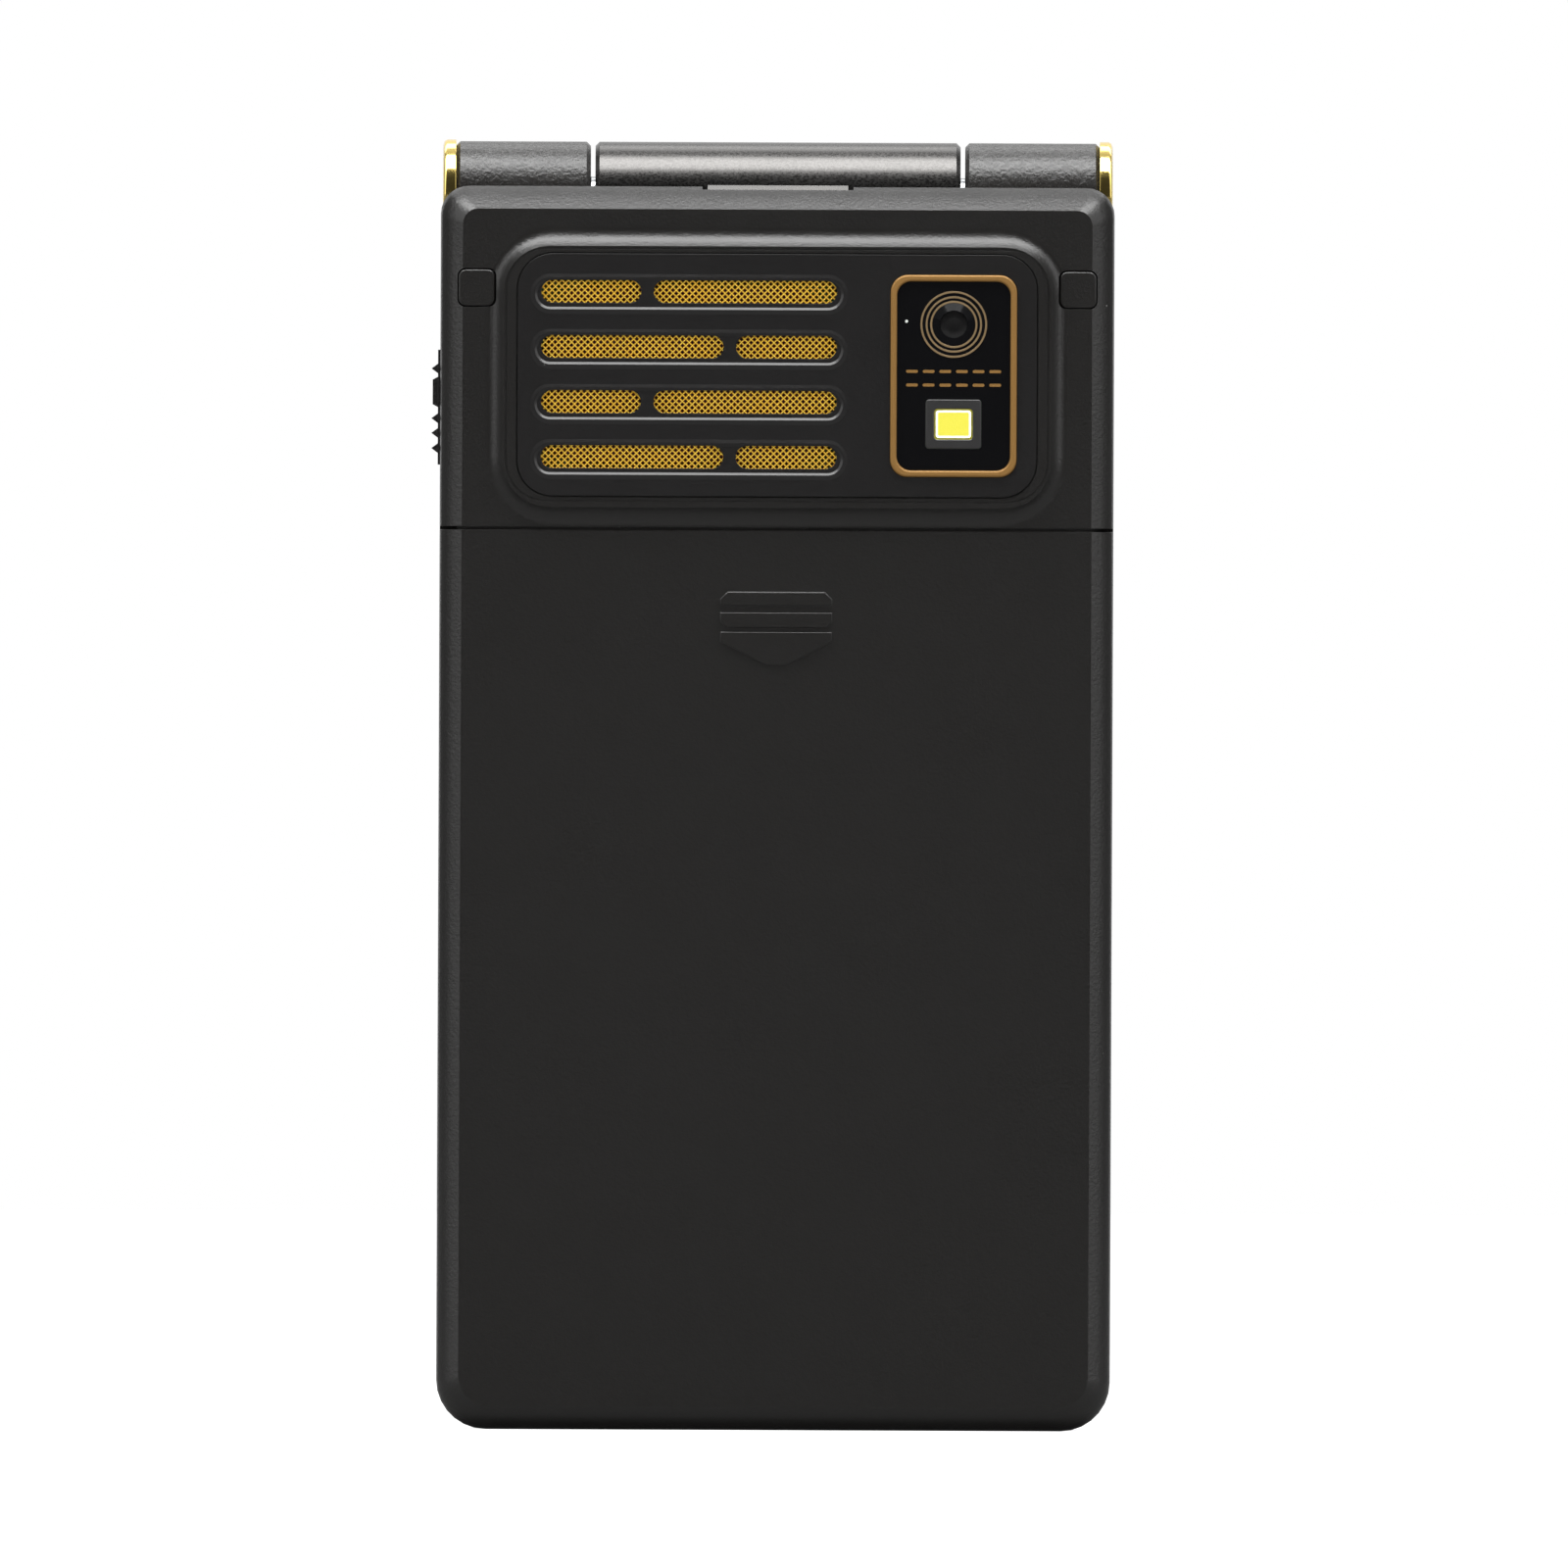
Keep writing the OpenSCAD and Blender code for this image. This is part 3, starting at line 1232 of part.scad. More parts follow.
module display_lens() {
    color([0.02, 0.02, 0.03]) slab(0, lens_bottom + lens_h / 2, lens_w, lens_h, glass_r,
        lid_in_y, lid_in_y + glass_t);
}

module display_module() {
    color([0.15, 0.15, 0.2]) slab(0, lens_bottom + lens_h / 2, lens_w - 3, lens_h - 6, 0.8,
        lid_in_y + glass_t + 0.02, lid_mid_y + 0.1);
}

module earpiece() {
    color([0.2, 0.2, 0.2]) slab(0, ear_z, ear_l + 3, 8, 1.4, ear_y + 0.32, lid_mid_y + 0.6);
}

module earpiece_mesh() {
    color([0.8, 0.6, 0.15]) window(-ear_l / 2 + 0.05, ear_l / 2 - 0.05, ear_z, ear_h - 0.1, ear_y, ear_y + 0.3);
}

module outer_lens() {
    color([0.02, 0.02, 0.03]) slab(0, outer_z, outer_w, outer_h, glass_r, lid_out_y - glass_t, lid_out_y);
}

module outer_display() {
    color([0.15, 0.15, 0.2]) slab(0, outer_z, outer_w - 1, outer_h - 1, 0.8,
        lid_out_y - lid_wall - 1.4, lid_out_y - lid_wall - 0.02);
}

module lid_board() {
    color([0.05, 0.3, 0.15]) {
        slab(0, outer_z, outer_w, outer_h + 6, 1, lid_mid_y + 0.3, lid_mid_y + 1.1);
        block([-outer_w / 2 + 2, lid_mid_y + 1, outer_z - outer_h / 2 + 2],
            [outer_w / 2 - 2, lid_out_y - lid_wall - 1.42, outer_z + outer_h / 2 - 2]);
    }
}

module lid_bumpers() {
    color([0.2, 0.2, 0.2]) for (x = [-bumper_x, bumper_x]) post(x, bumper_z, bumper_r - 0.02,
        rim_y + 0.05, lid_in_y + 0.48);
}

module lid_screws() {
    for (x = [-lid_screw_x, lid_screw_x], z = lid_screw_z)
        screw(x, lid_in_y + 0.2, z, lid_screw_l);
}

// ---------- the phone ----------

rear_housing();
keypad_housing();
hinge_barrel();
battery_cover();
speaker_panel();
speaker_mesh();
loudspeaker();
camera_plate();
camera_bezel();
lens_rings();
camera_module();
flash_window();
flash_led();
main_board();
battery();
battery_contacts();
sim_holder();
usb_socket();
keypad_mat();
vibration_motor();
microphone();
housing_screws();
screw_plugs();
hinge_can();
hinge_spring();
hinge_cam();
hinge_rotor();
pivot_bush();
lid_cover();
lid_frame();
rail_left();
rail_right();
display_lens();
display_module();
earpiece();
earpiece_mesh();
outer_lens();
outer_display();
lid_board();
lid_bumpers();
lid_screws();
volume_key();
nav_ring();
ok_key();
for (i = [0:11]) number_key(i);
for (k = side_keys) side_key(k);
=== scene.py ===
import json
import math

import bpy
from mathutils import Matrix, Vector


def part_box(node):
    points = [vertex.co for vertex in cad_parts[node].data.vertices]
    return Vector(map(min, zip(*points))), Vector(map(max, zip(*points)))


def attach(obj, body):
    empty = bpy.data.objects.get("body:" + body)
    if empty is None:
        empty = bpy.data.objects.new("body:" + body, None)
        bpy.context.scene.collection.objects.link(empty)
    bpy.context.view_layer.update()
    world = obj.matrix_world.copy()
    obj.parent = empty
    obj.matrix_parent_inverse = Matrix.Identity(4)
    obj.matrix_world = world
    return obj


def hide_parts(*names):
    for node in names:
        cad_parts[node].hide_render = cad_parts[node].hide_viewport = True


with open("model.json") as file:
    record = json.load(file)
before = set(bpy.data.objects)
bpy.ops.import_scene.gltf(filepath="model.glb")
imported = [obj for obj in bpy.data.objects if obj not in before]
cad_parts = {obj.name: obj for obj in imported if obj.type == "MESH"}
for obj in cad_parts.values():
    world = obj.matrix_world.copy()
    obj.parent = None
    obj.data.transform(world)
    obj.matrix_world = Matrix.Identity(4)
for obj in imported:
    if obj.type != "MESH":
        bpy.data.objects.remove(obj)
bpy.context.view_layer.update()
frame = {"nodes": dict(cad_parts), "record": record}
nodes = frame["nodes"]
MM = 0.001

# ---------- view of the photograph ----------

PHOTO = 1600                      # the picture is square, this many pixels a side
MM_PER_PX = 0.0836                # scale at the phone's rear face
VIEW_X, VIEW_Z = 0.73, 55.15      # millimetres at the middle of the picture
LENS, SENSOR = 1600.0, 36.0       # a long lens far away, which leaves hardly any perspective
ROLL = math.radians(-0.24)        # the phone stands a little askew in the photograph
CLIP = 0.5, 50                    # nearest and farthest distance seen, in metres


def make_camera():
    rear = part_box("battery_cover")[0].y
    width = PHOTO * MM_PER_PX * MM
    data = bpy.data.cameras.new("camera")
    data.lens, data.sensor_width = LENS, SENSOR
    cam = bpy.data.objects.new("camera", data)
    cam.location = (VIEW_X * MM, rear - width * LENS / SENSOR, VIEW_Z * MM)
    cam.rotation_euler = (math.pi / 2, ROLL, 0)
    data.clip_start, data.clip_end = CLIP
    bpy.context.scene.collection.objects.link(cam)
    bpy.context.scene.camera = cam


# ---------- node helpers ----------

class Nodes:
    """Short calls for building a node tree. Scales are in cells per metre, so 1000 / size takes millimetres."""

    def __init__(self, tree):
        self.tree = tree
        tree.nodes.clear()

    def add(self, kind, inputs=None, **settings):
        node = self.tree.nodes.new(kind)
        for key, value in settings.items():
            setattr(node, key, value)
        for key, value in (inputs or {}).items():
            self.put(node.inputs[key], value)
        return node

    def put(self, socket, value):
        if isinstance(value, bpy.types.NodeSocket):
            self.tree.links.new(value, socket)
        else:
            socket.default_value = value

    def math(self, op, a, b=0.0, c=0.0, clamp=False):
        node = self.add("ShaderNodeMath", {0: a, 1: b, 2: c}, operation=op, use_clamp=clamp)
        return node.outputs[0]

    def spread(self, value, low, high, to_low=0.0, to_high=1.0):
        node = self.add("ShaderNodeMapRange", {"Value": value, "From Min": low, "From Max": high,
                                               "To Min": to_low, "To Max": to_high},
                        interpolation_type="SMOOTHSTEP")
        return node.outputs["Result"]

    def place(self):
        return self.add("ShaderNodeTexCoord").outputs["Object"]

    def stretched(self, scale):
        return self.add("ShaderNodeMapping", {"Vector": self.place(), "Scale": scale}).outputs[0]

    def noise(self, scale, detail=2.0, at=None, rough=0.5):
        return self.add("ShaderNodeTexNoise", {"Vector": at or self.place(), "Scale": scale,
                                               "Detail": detail, "Roughness": rough}).outputs["Fac"]

    def cells(self, scale, random=1.0):
        return self.add("ShaderNodeTexVoronoi", {"Vector": self.place(), "Scale": scale,
                                                 "Randomness": random}).outputs

    def blend(self, fac, a, b):
        node = self.add("ShaderNodeMix", data_type="RGBA")
        self.put(node.inputs[0], fac)
        self.put(node.inputs[6], a)
        self.put(node.inputs[7], b)
        return node.outputs[2]

    def bump(self, height, depth_mm, strength=1.0):
        return self.add("ShaderNodeBump", {"Height": height, "Distance": depth_mm * MM,
                                           "Strength": strength}).outputs[0]


def shade(srgb):
    """Linear colour with its alpha for an 8-bit display colour."""
    return tuple(c / 255 / 12.92 if c <= 10 else ((c / 255 + 0.055) / 1.055) ** 2.4 for c in srgb) + (1.0,)


def scaled(colour, k):
    return tuple(c * k for c in colour[:3]) + (1.0,)


def material(name, build):
    mat = bpy.data.materials.new(name)
    mat.use_nodes = True
    n = Nodes(mat.node_tree)
    out = n.add("ShaderNodeOutputMaterial")
    bsdf = n.add("ShaderNodeBsdfPrincipled")
    n.tree.links.new(bsdf.outputs[0], out.inputs[0])
    build(n, bsdf)
    return mat


# ---------- edges of the CAD pieces ----------

def smooth_group(angle):
    """Joins the CAD mesh's corners and shades it smooth, keeping edges sharper than the angle."""
    group = bpy.data.node_groups.new("smooth_faces_%d" % angle, "GeometryNodeTree")
    group.interface.new_socket("Geometry", in_out="INPUT", socket_type="NodeSocketGeometry")
    group.interface.new_socket("Geometry", in_out="OUTPUT", socket_type="NodeSocketGeometry")
    n = Nodes(group)
    source = n.add("NodeGroupInput")
    plain = n.add("GeometryNodeRemoveAttribute", {"Geometry": source.outputs[0], "Name": "custom_normal"})
    joined = n.add("GeometryNodeMergeByDistance", {"Geometry": plain.outputs[0], "Distance": 2e-6})
    bend = n.add("GeometryNodeInputMeshEdgeAngle")
    soft = n.add("FunctionNodeCompare", {"A": bend.outputs["Unsigned Angle"], "B": math.radians(angle)},
                 data_type="FLOAT", operation="LESS_THAN")
    faces = n.add("GeometryNodeSetShadeSmooth", {"Geometry": joined.outputs[0], "Shade Smooth": True})
    edges = n.add("GeometryNodeSetShadeSmooth", {"Geometry": faces.outputs[0],
                                                 "Shade Smooth": soft.outputs[0]}, domain="EDGE")
    out = n.add("NodeGroupOutput")
    n.tree.links.new(edges.outputs[0], out.inputs[0])
    return group


SMOOTH_ANGLE = 27        # faces that meet at less than this angle shade as one curve
PANEL_ANGLE = 12         # the same for the sound panel, whose slots have shallow bevels
SMOOTH = {angle: smooth_group(angle) for angle in (PANEL_ANGLE, SMOOTH_ANGLE)}


def finish_edges(obj, width_mm, segments, smooth):
    """Small rounding on a piece's edges, as moulding and stamping leave it; a width of 0 leaves them sharp."""
    obj.modifiers.new("smooth", "NODES").node_group = SMOOTH[smooth]
    if width_mm == 0:
        return
    flat = obj.modifiers.new("flat", "DECIMATE")
    flat.decimate_type, flat.angle_limit = "DISSOLVE", math.radians(0.4)
    bevel = obj.modifiers.new("round", "BEVEL")
    bevel.width, bevel.segments = width_mm * MM, segments
    bevel.limit_method, bevel.angle_limit = "ANGLE", math.radians(smooth + 1)
    bevel.use_clamp_overlap = True
    weigh = obj.modifiers.new("weigh", "WEIGHTED_NORMAL")
    weigh.mode, weigh.weight, weigh.keep_sharp = "FACE_AREA", 90, True


# ---------- materials ----------

SPECK_PITCH = 2.6      # distance between neighbouring places for a speck of dust
SPECK_RARE = 0.72      # a place holds a speck if its random draw is above this
WIRE_PITCH = 0.394     # distance between neighbouring wires of the gauze
WIRE_R = 0.097


def soft_paint(srgb, rough, grain=0.2, depth=0.010, specks=0.0):
    """Matt paint: fine grain, slow changes of tone, and a few pale specks of dust."""
    def build(n, bsdf):
        base = shade(srgb)
        fine = n.noise(1000 / grain, 3, rough=0.65)
        tone = n.blend(n.noise(70, 3), scaled(base, 0.92), scaled(base, 1.08))
        tone = n.blend(n.spread(fine, 0.4, 0.7), tone, scaled(base, 1.3))
        if specks:
            cell = n.cells(1000 / SPECK_PITCH)
            few = n.math("GREATER_THAN", cell["Color"], SPECK_RARE)
            dot = n.spread(cell["Distance"], 0.012, 0.03, 1, 0)
            cover = n.math("MULTIPLY", n.math("MULTIPLY", few, dot), specks)
            tone = n.blend(cover, tone, shade((150, 150, 148)))
        n.put(bsdf.inputs["Base Color"], tone)
        n.put(bsdf.inputs["Roughness"], n.spread(n.noise(240, 3), 0.3, 0.7, rough - 0.015, rough + 0.015))
        n.put(bsdf.inputs["Normal"], n.bump(fine, depth))
    return build


def leather(srgb, rough, pebble=0.34, depth=0.03):
    """Fine pebbled grain like embossed leather, with painted shade in the creases and smoother tops that carry
    a painted highlight.
    """
    def build(n, bsdf):
        base = shade(srgb)
        wander = n.add("ShaderNodeTexNoise", {"Vector": n.place(), "Scale": 1400, "Detail": 2})
        warp = n.add("ShaderNodeVectorMath", {0: wander.outputs["Color"], 1: (0.0004,) * 3, 2: n.place()},
                     operation="MULTIPLY_ADD")
        grain = n.noise(1000 / pebble, 4, warp.outputs[0], 0.6)
        top = n.spread(grain, 0.35, 0.62)
        # painted light: the grain's hollows are painted darker as shade, its tops lighter as a painted
        # highlight
        n.put(bsdf.inputs["Base Color"], n.blend(top, scaled(base, 0.7), scaled(base, 1.2)))
        n.put(bsdf.inputs["Roughness"], n.spread(top, 0, 1, rough + 0.1, rough))
        n.put(bsdf.inputs["Normal"], n.bump(grain, depth))
    return build


def metal(srgb, rough, brushed=(1, 1, 1), size=0.2, depth=0.002, metallic=1.0):
    """Metal with fine marks, drawn out along the axis whose value in brushed is small."""
    def build(n, bsdf):
        base = shade(srgb)
        marks = n.noise(1000 / size, 3, n.stretched(brushed))
        n.put(bsdf.inputs["Base Color"], n.blend(n.noise(160, 2), scaled(base, 0.93), scaled(base, 1.05)))
        n.put(bsdf.inputs["Roughness"], n.spread(marks, 0.3, 0.7, rough * 0.8, rough * 1.25))
        n.put(bsdf.inputs["Normal"], n.bump(marks, depth))
        bsdf.inputs["Metallic"].default_value = metallic
    return build


def gloss(srgb, rough=0.04):
    """Polished plastic or glass with faint upright hairlines."""
    def build(n, bsdf):
        base = shade(srgb)
        hair = n.noise(1500, 4, n.stretched((1, 1, 0.06)))
        n.put(bsdf.inputs["Base Color"], n.blend(n.noise(260, 2), scaled(base, 0.85), scaled(base, 1.15)))
        n.put(bsdf.inputs["Roughness"], n.spread(hair, 0.55, 0.8, rough, rough + 0.05))
        n.put(bsdf.inputs["Normal"], n.bump(n.noise(300, 1), 0.002))
    return build


def board(n, bsdf):
    """Green lacquer over copper tracks."""
    tracks = n.add("ShaderNodeTexBrick", {"Vector": n.place(), "Color1": shade((12, 92, 48)),
                                          "Color2": shade((16, 108, 58)), "Mortar": shade((70, 130, 60)),
                                          "Scale": 420, "Mortar Size": 0.03})
    n.put(bsdf.inputs["Base Color"], n.blend(n.noise(300, 3), tracks.outputs[0], shade((10, 80, 42))))
    n.put(bsdf.inputs["Roughness"], n.spread(n.noise(600, 2), 0.3, 0.7, 0.28, 0.42))
    n.put(bsdf.inputs["Normal"], n.bump(tracks.outputs[1], 0.02))


def phosphor(n, bsdf):
    """Yellow phosphor of the flash: fine powder in clear resin."""
    powder = n.noise(1000 / 0.1, 3)
    n.put(bsdf.inputs["Base Color"], n.blend(powder, shade((172, 166, 36)), shade((182, 176, 64))))
    n.put(bsdf.inputs["Roughness"], n.spread(powder, 0.3, 0.7, 0.3, 0.5))
    n.put(bsdf.inputs["Normal"], n.bump(powder, 0.01))


def gilt_wire(n, bsdf):
    """Gilded wires of the gauze, with a painted highlight where they cross over and painted shade where they
    dip under.
    """
    depth = n.add("ShaderNodeSeparateXYZ", {0: n.place()}).outputs["Y"]
    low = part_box("speaker_mesh")[0]
    # painted light by depth: painted shade on the deep parts of the wires, a painted highlight on the crossing
    # tops
    side = n.spread(depth, low.y + 2.2 * WIRE_R * MM, low.y + WIRE_R * MM, 0, 1)
    over = n.spread(depth, low.y + 0.7 * WIRE_R * MM, low.y, 0, 1)
    # the near-black brown is painted shade, the pale yellow a painted highlight
    tone = n.blend(over, n.blend(side, shade((40, 14, 0)), shade((214, 112, 6))), shade((255, 230, 92)))
    tone = n.blend(n.spread(n.noise(700, 2), 0.4, 0.7, 0, 0.25), tone, shade((255, 190, 44)))
    n.put(bsdf.inputs["Base Color"], tone)
    n.put(bsdf.inputs["Roughness"], n.spread(n.noise(4000, 2), 0.3, 0.7, 0.34, 0.48))
    n.put(bsdf.inputs["Normal"], n.bump(n.noise(12000, 2), 0.001))
    bsdf.inputs["Metallic"].default_value = 0.7


def pierced(srgb, pitch, rough=0.35):
    """Thin sheet with rows of small holes, painted near black as the shade seen through them."""
    def build(n, bsdf):
        hole = n.spread(n.cells(1000 / pitch, random=0.0)["Distance"], 0.26, 0.34, 1, 0)
        # painted shade: the holes are only coloured near black and pressed in by the bump, not cut
        n.put(bsdf.inputs["Base Color"], n.blend(hole, shade(srgb), (0.003, 0.003, 0.003, 1)))
        n.put(bsdf.inputs["Metallic"], n.spread(hole, 0, 1, 0.8, 0))
        n.put(bsdf.inputs["Roughness"], n.spread(n.noise(900, 2), 0.3, 0.7, rough - 0.05, rough + 0.05))
        n.put(bsdf.inputs["Normal"], n.bump(n.math("SUBTRACT", 1.0, hole), 0.05))
    return build


FINISHES = {
    "soft_black": soft_paint((12, 11, 10), 0.31, grain=0.3, depth=0.032, specks=0.5),
    "panel_black": soft_paint((9, 8, 8), 0.32, grain=0.3, depth=0.02, specks=0.4),
    "satin_black": soft_paint((32, 32, 33), 0.38, grain=0.2),
    "leather_black": leather((24, 23, 22), 0.23, 0.36, 0.07),
    "graphite": metal((78, 77, 76), 0.28, (0.6, 1, 1), 0.14, 0.0018),
    "polished_gold": metal((252, 224, 132), 0.12, (0.1, 1, 1), 0.3, 0.0002),
    "old_gold": metal((122, 90, 45), 0.46, (1, 1, 1), 0.14, 0.003, metallic=0.5),
    "gold_gauze": gilt_wire,
    "gloss_black": gloss((7, 7, 8)),
    "lens_glass": gloss((7, 7, 12), 0.02),
    "dark_window": gloss((34, 34, 34), 0.16),
    "led_yellow": phosphor,
    "board_green": board,
    "battery_grey": soft_paint((74, 78, 84), 0.4, grain=0.3, depth=0.004),
    "contact_gold": metal((236, 188, 96), 0.18),
    "steel": metal((176, 178, 180), 0.26, (1, 1, 0.1), 0.15),
    "dark_metal": metal((92, 92, 96), 0.36, (1, 1, 0.2), 0.15),
    "mat_rubber": soft_paint((150, 154, 150), 0.55, grain=0.25),
    "bumper_rubber": soft_paint((44, 44, 44), 0.7, grain=0.16),
    "key_black": soft_paint((38, 38, 40), 0.3, grain=0.2, depth=0.004),
    "call_green": soft_paint((26, 120, 62), 0.32, grain=0.2, depth=0.004),
    "end_red": soft_paint((150, 30, 30), 0.32, grain=0.2, depth=0.004),
    "clear_resin": soft_paint((250, 250, 214), 0.25, grain=0.3, depth=0.002),
    "legend_white": soft_paint((226, 222, 208), 0.4, grain=0.3, depth=0.002),
    "key_print": soft_paint((40, 36, 28), 0.4, grain=0.3, depth=0.002),
    "picture_glass": gloss((20, 21, 24), 0.03),
    "ear_gauze": pierced((196, 150, 78), 0.42),
    "iris_grey": gloss((4, 4, 4), 0.26),
    "ring_bronze": metal((104, 86, 60), 0.4, (1, 1, 1), 0.1, 0.001, metallic=0.4),
}
FINISH = {name: material(name, build) for name, build in FINISHES.items()}


# ---------- the CAD pieces ----------

SLOT_OF = {part["node"]: part["material_slot"] for part in frame["record"]["subparts"]}
SPECIAL = {"lens_rings": "ring_bronze", "speaker_panel": "panel_black", "volume_key": "panel_black",
           "earpiece_mesh": "ear_gauze"}
EDGE, ROUND_STEPS = 0.05, 2     # width of a piece's rounded edges and the steps across it
EDGES = {                       # the same for the pieces that differ
    "rear_housing": (0.09, 2), "speaker_panel": (0.07, 2), "screw_plugs": (0.12, 2), "volume_key": (0.06, 2),
    "camera_bezel": (0.18, 3), "camera_plate": (0.03, 2), "lens_rings": (0.02, 2), "flash_led": (0.04, 2),
    "flash_window": (0.06, 2), "keypad_housing": (0.1, 2), "lid_cover": (0.12, 2), "lid_frame": (0.1, 2),
    "rail_left": (0.3, 6), "rail_right": (0.3, 6), "hinge_spring": (0, 2), "speaker_mesh": (0, 2),
}


def dress_nodes():
    """Material and edges for each CAD piece."""
    for name, obj in nodes.items():
        mat = FINISH[SPECIAL.get(name, SLOT_OF[name])]
        for place in obj.material_slots:
            place.material = mat
        width, steps = EDGES.get(name, (EDGE, ROUND_STEPS))
        finish_edges(obj, width, steps, PANEL_ANGLE if name == "speaker_panel" else SMOOTH_ANGLE)


# ---------- pieces that the CAD leaves plain ----------

def add_piece(name, verts, faces, slot, body, finish=None, smooth=0):
    """New piece from vertices in millimetres; smooth is the angle up to which its faces shade as one curve."""
    mesh = bpy.data.meshes.new(name)
    mesh.from_pydata([tuple(c * MM for c in v) for v in verts], [], faces)
    mesh.materials.append(FINISH[finish or slot])
    mesh.update()
    if smooth:
        mesh.shade_smooth()
        mesh.set_sharp_from_angle(angle=math.radians(smooth))
    obj = bpy.data.objects.new(name, mesh)
    bpy.context.scene.collection.objects.link(obj)
    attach(obj, body)
    return obj


def box_mm(node):
    low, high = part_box(node)
    return low / MM, high / MM


def centre_mm(node):
    low, high = box_mm(node)
    return (low + high) / 2


def turned(cx, cz, profile, steps=64):
    """Solid turned about the Y direction through (cx, cz).

    The profile is a list of (radius, y), either from axis to axis or closed by its first point.
    """
    verts, faces, rings = [], [], []
    for r, y in profile:
        if rings and (r, y) == profile[0]:
            rings.append(rings[0])
            continue
        count = 1 if r == 0 else steps
        rings.append([len(verts) + k for k in range(count)])
        verts += [(cx + r * math.cos(2 * math.pi * k / steps), y, cz + r * math.sin(2 * math.pi * k / steps))
                  for k in range(count)]
    for a, b in zip(rings, rings[1:]):
        for k in range(steps):
            m = (k + 1) % steps
            quad = [a[k % len(a)], a[m % len(a)], b[m % len(b)], b[k % len(b)]]
            faces.append(list(dict.fromkeys(quad)))
    return verts, faces


def rounded_outline(cx, cz, w, h, r, steps=6):
    """Corner points of a rounded rectangle in the X-Z plane, anticlockwise seen from the rear."""
    points = []
    for k, (sx, sz) in enumerate([(1, 1), (-1, 1), (-1, -1), (1, -1)]):
        for i in range(steps + 1):
            a = math.pi / 2 * (k + i / steps)
            points.append((cx + sx * (w / 2 - r) + r * math.cos(a), cz + sz * (h / 2 - r) + r * math.sin(a)))
    return points


def prisms(outlines, y_front, y_back):
    """Straight solids over the outlines, from y_front to y_back."""
    verts, faces = [], []
    for outline in outlines:
        n, base = len(outline), len(verts)
        verts += [(x, y_front, z) for x, z in outline] + [(x, y_back, z) for x, z in outline]
        faces.append([base + k for k in range(n)])
        faces.append([base + n + k for k in reversed(range(n))])
        faces += [[base + k, base + n + k, base + n + (k + 1) % n, base + (k + 1) % n] for k in range(n)]
    return verts, faces


def frame_ring(outer, inner, y_front, y_back):
    """Closed ring between two outlines with the same number of points."""
    n = len(outer)
    loops = [(outer, y_front), (inner, y_front), (inner, y_back), (outer, y_back)]
    verts = [(x, y, z) for outline, y in loops for x, z in outline]
    faces = [[a * n + k, b * n + k, b * n + (k + 1) % n, a * n + (k + 1) % n]
             for a, b in [(0, 1), (1, 2), (2, 3), (3, 0)] for k in range(n)]
    return verts, faces


WIRE_SIDES = 5
BENDS = 4              # points along a wire from one crossing over to the next


def wire(points, normal, side):
    """Open skin of a wire through points; normal and side span its cross-section."""
    verts, faces = [], []
    for p in points:
        for k in range(WIRE_SIDES):
            a = 2 * math.pi * k / WIRE_SIDES
            verts.append(p + (normal * math.cos(a) + side * math.sin(a)) * WIRE_R)
    for i in range(len(points) - 1):
        here, there = i * WIRE_SIDES, (i + 1) * WIRE_SIDES
        for k in range(WIRE_SIDES):
            m = (k + 1) % WIRE_SIDES
            faces.append([here + k, here + m, there + m, there + k])
    return verts, faces


def make_gauze():
    """Plain-woven wires at 45 degrees behind the slots; each wire runs over and under the next ones."""
    low, high = box_mm("speaker_mesh")
    middle = (low + high) / 2
    half_x, half_z = (high.x - low.x) / 2 - WIRE_R, (high.z - low.z) / 2 - WIRE_R
    normal = Vector((0, -1, 0))
    lift = (high.y - low.y) / 2 - WIRE_R
    verts, faces = [], []
    count = int((half_x + half_z) / math.sqrt(2) / WIRE_PITCH)
    for turn in (1, -1):
        along = Vector((turn, 0, 1)).normalized()
        side = along.cross(normal)
        for row in range(-count, count + 1):
            start = side * row * WIRE_PITCH
            points = []
            for step in range(-BENDS * count, BENDS * count + 1):
                at = start + along * (step * 2 * WIRE_PITCH / BENDS)
                if abs(at.x) > half_x or abs(at.z) > half_z:
                    continue
                phase = math.cos(2 * math.pi * step / BENDS) * (1 if row % 2 else -1) * turn
                points.append(middle + at + normal * lift * phase)
            if len(points) > 2:
                more, skins = wire(points, normal, side)
                faces += [[len(verts) + v for v in face] for face in skins]
                verts += more
    gauze = add_piece("gauze_weave", verts, faces, "gold_gauze", "base", smooth=80)
    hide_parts("speaker_mesh")


PRINT_H = 0.012                # height of printed marks
MARK_W, MARK_H = 8.1, 1.42     # room for both rows of dashes on the camera plate
MARK_COUNT = 6                 # dashes in a row
MARK_DROP = 0.19               # how far the rows lie below the plate's middle
DASH_W, DASH_H = 1.0, 0.26
DOT_R, DOT_SIDE, DOT_UP = 0.13, 4.03, 4.66     # pale dot beside the lens, from the plate's middle


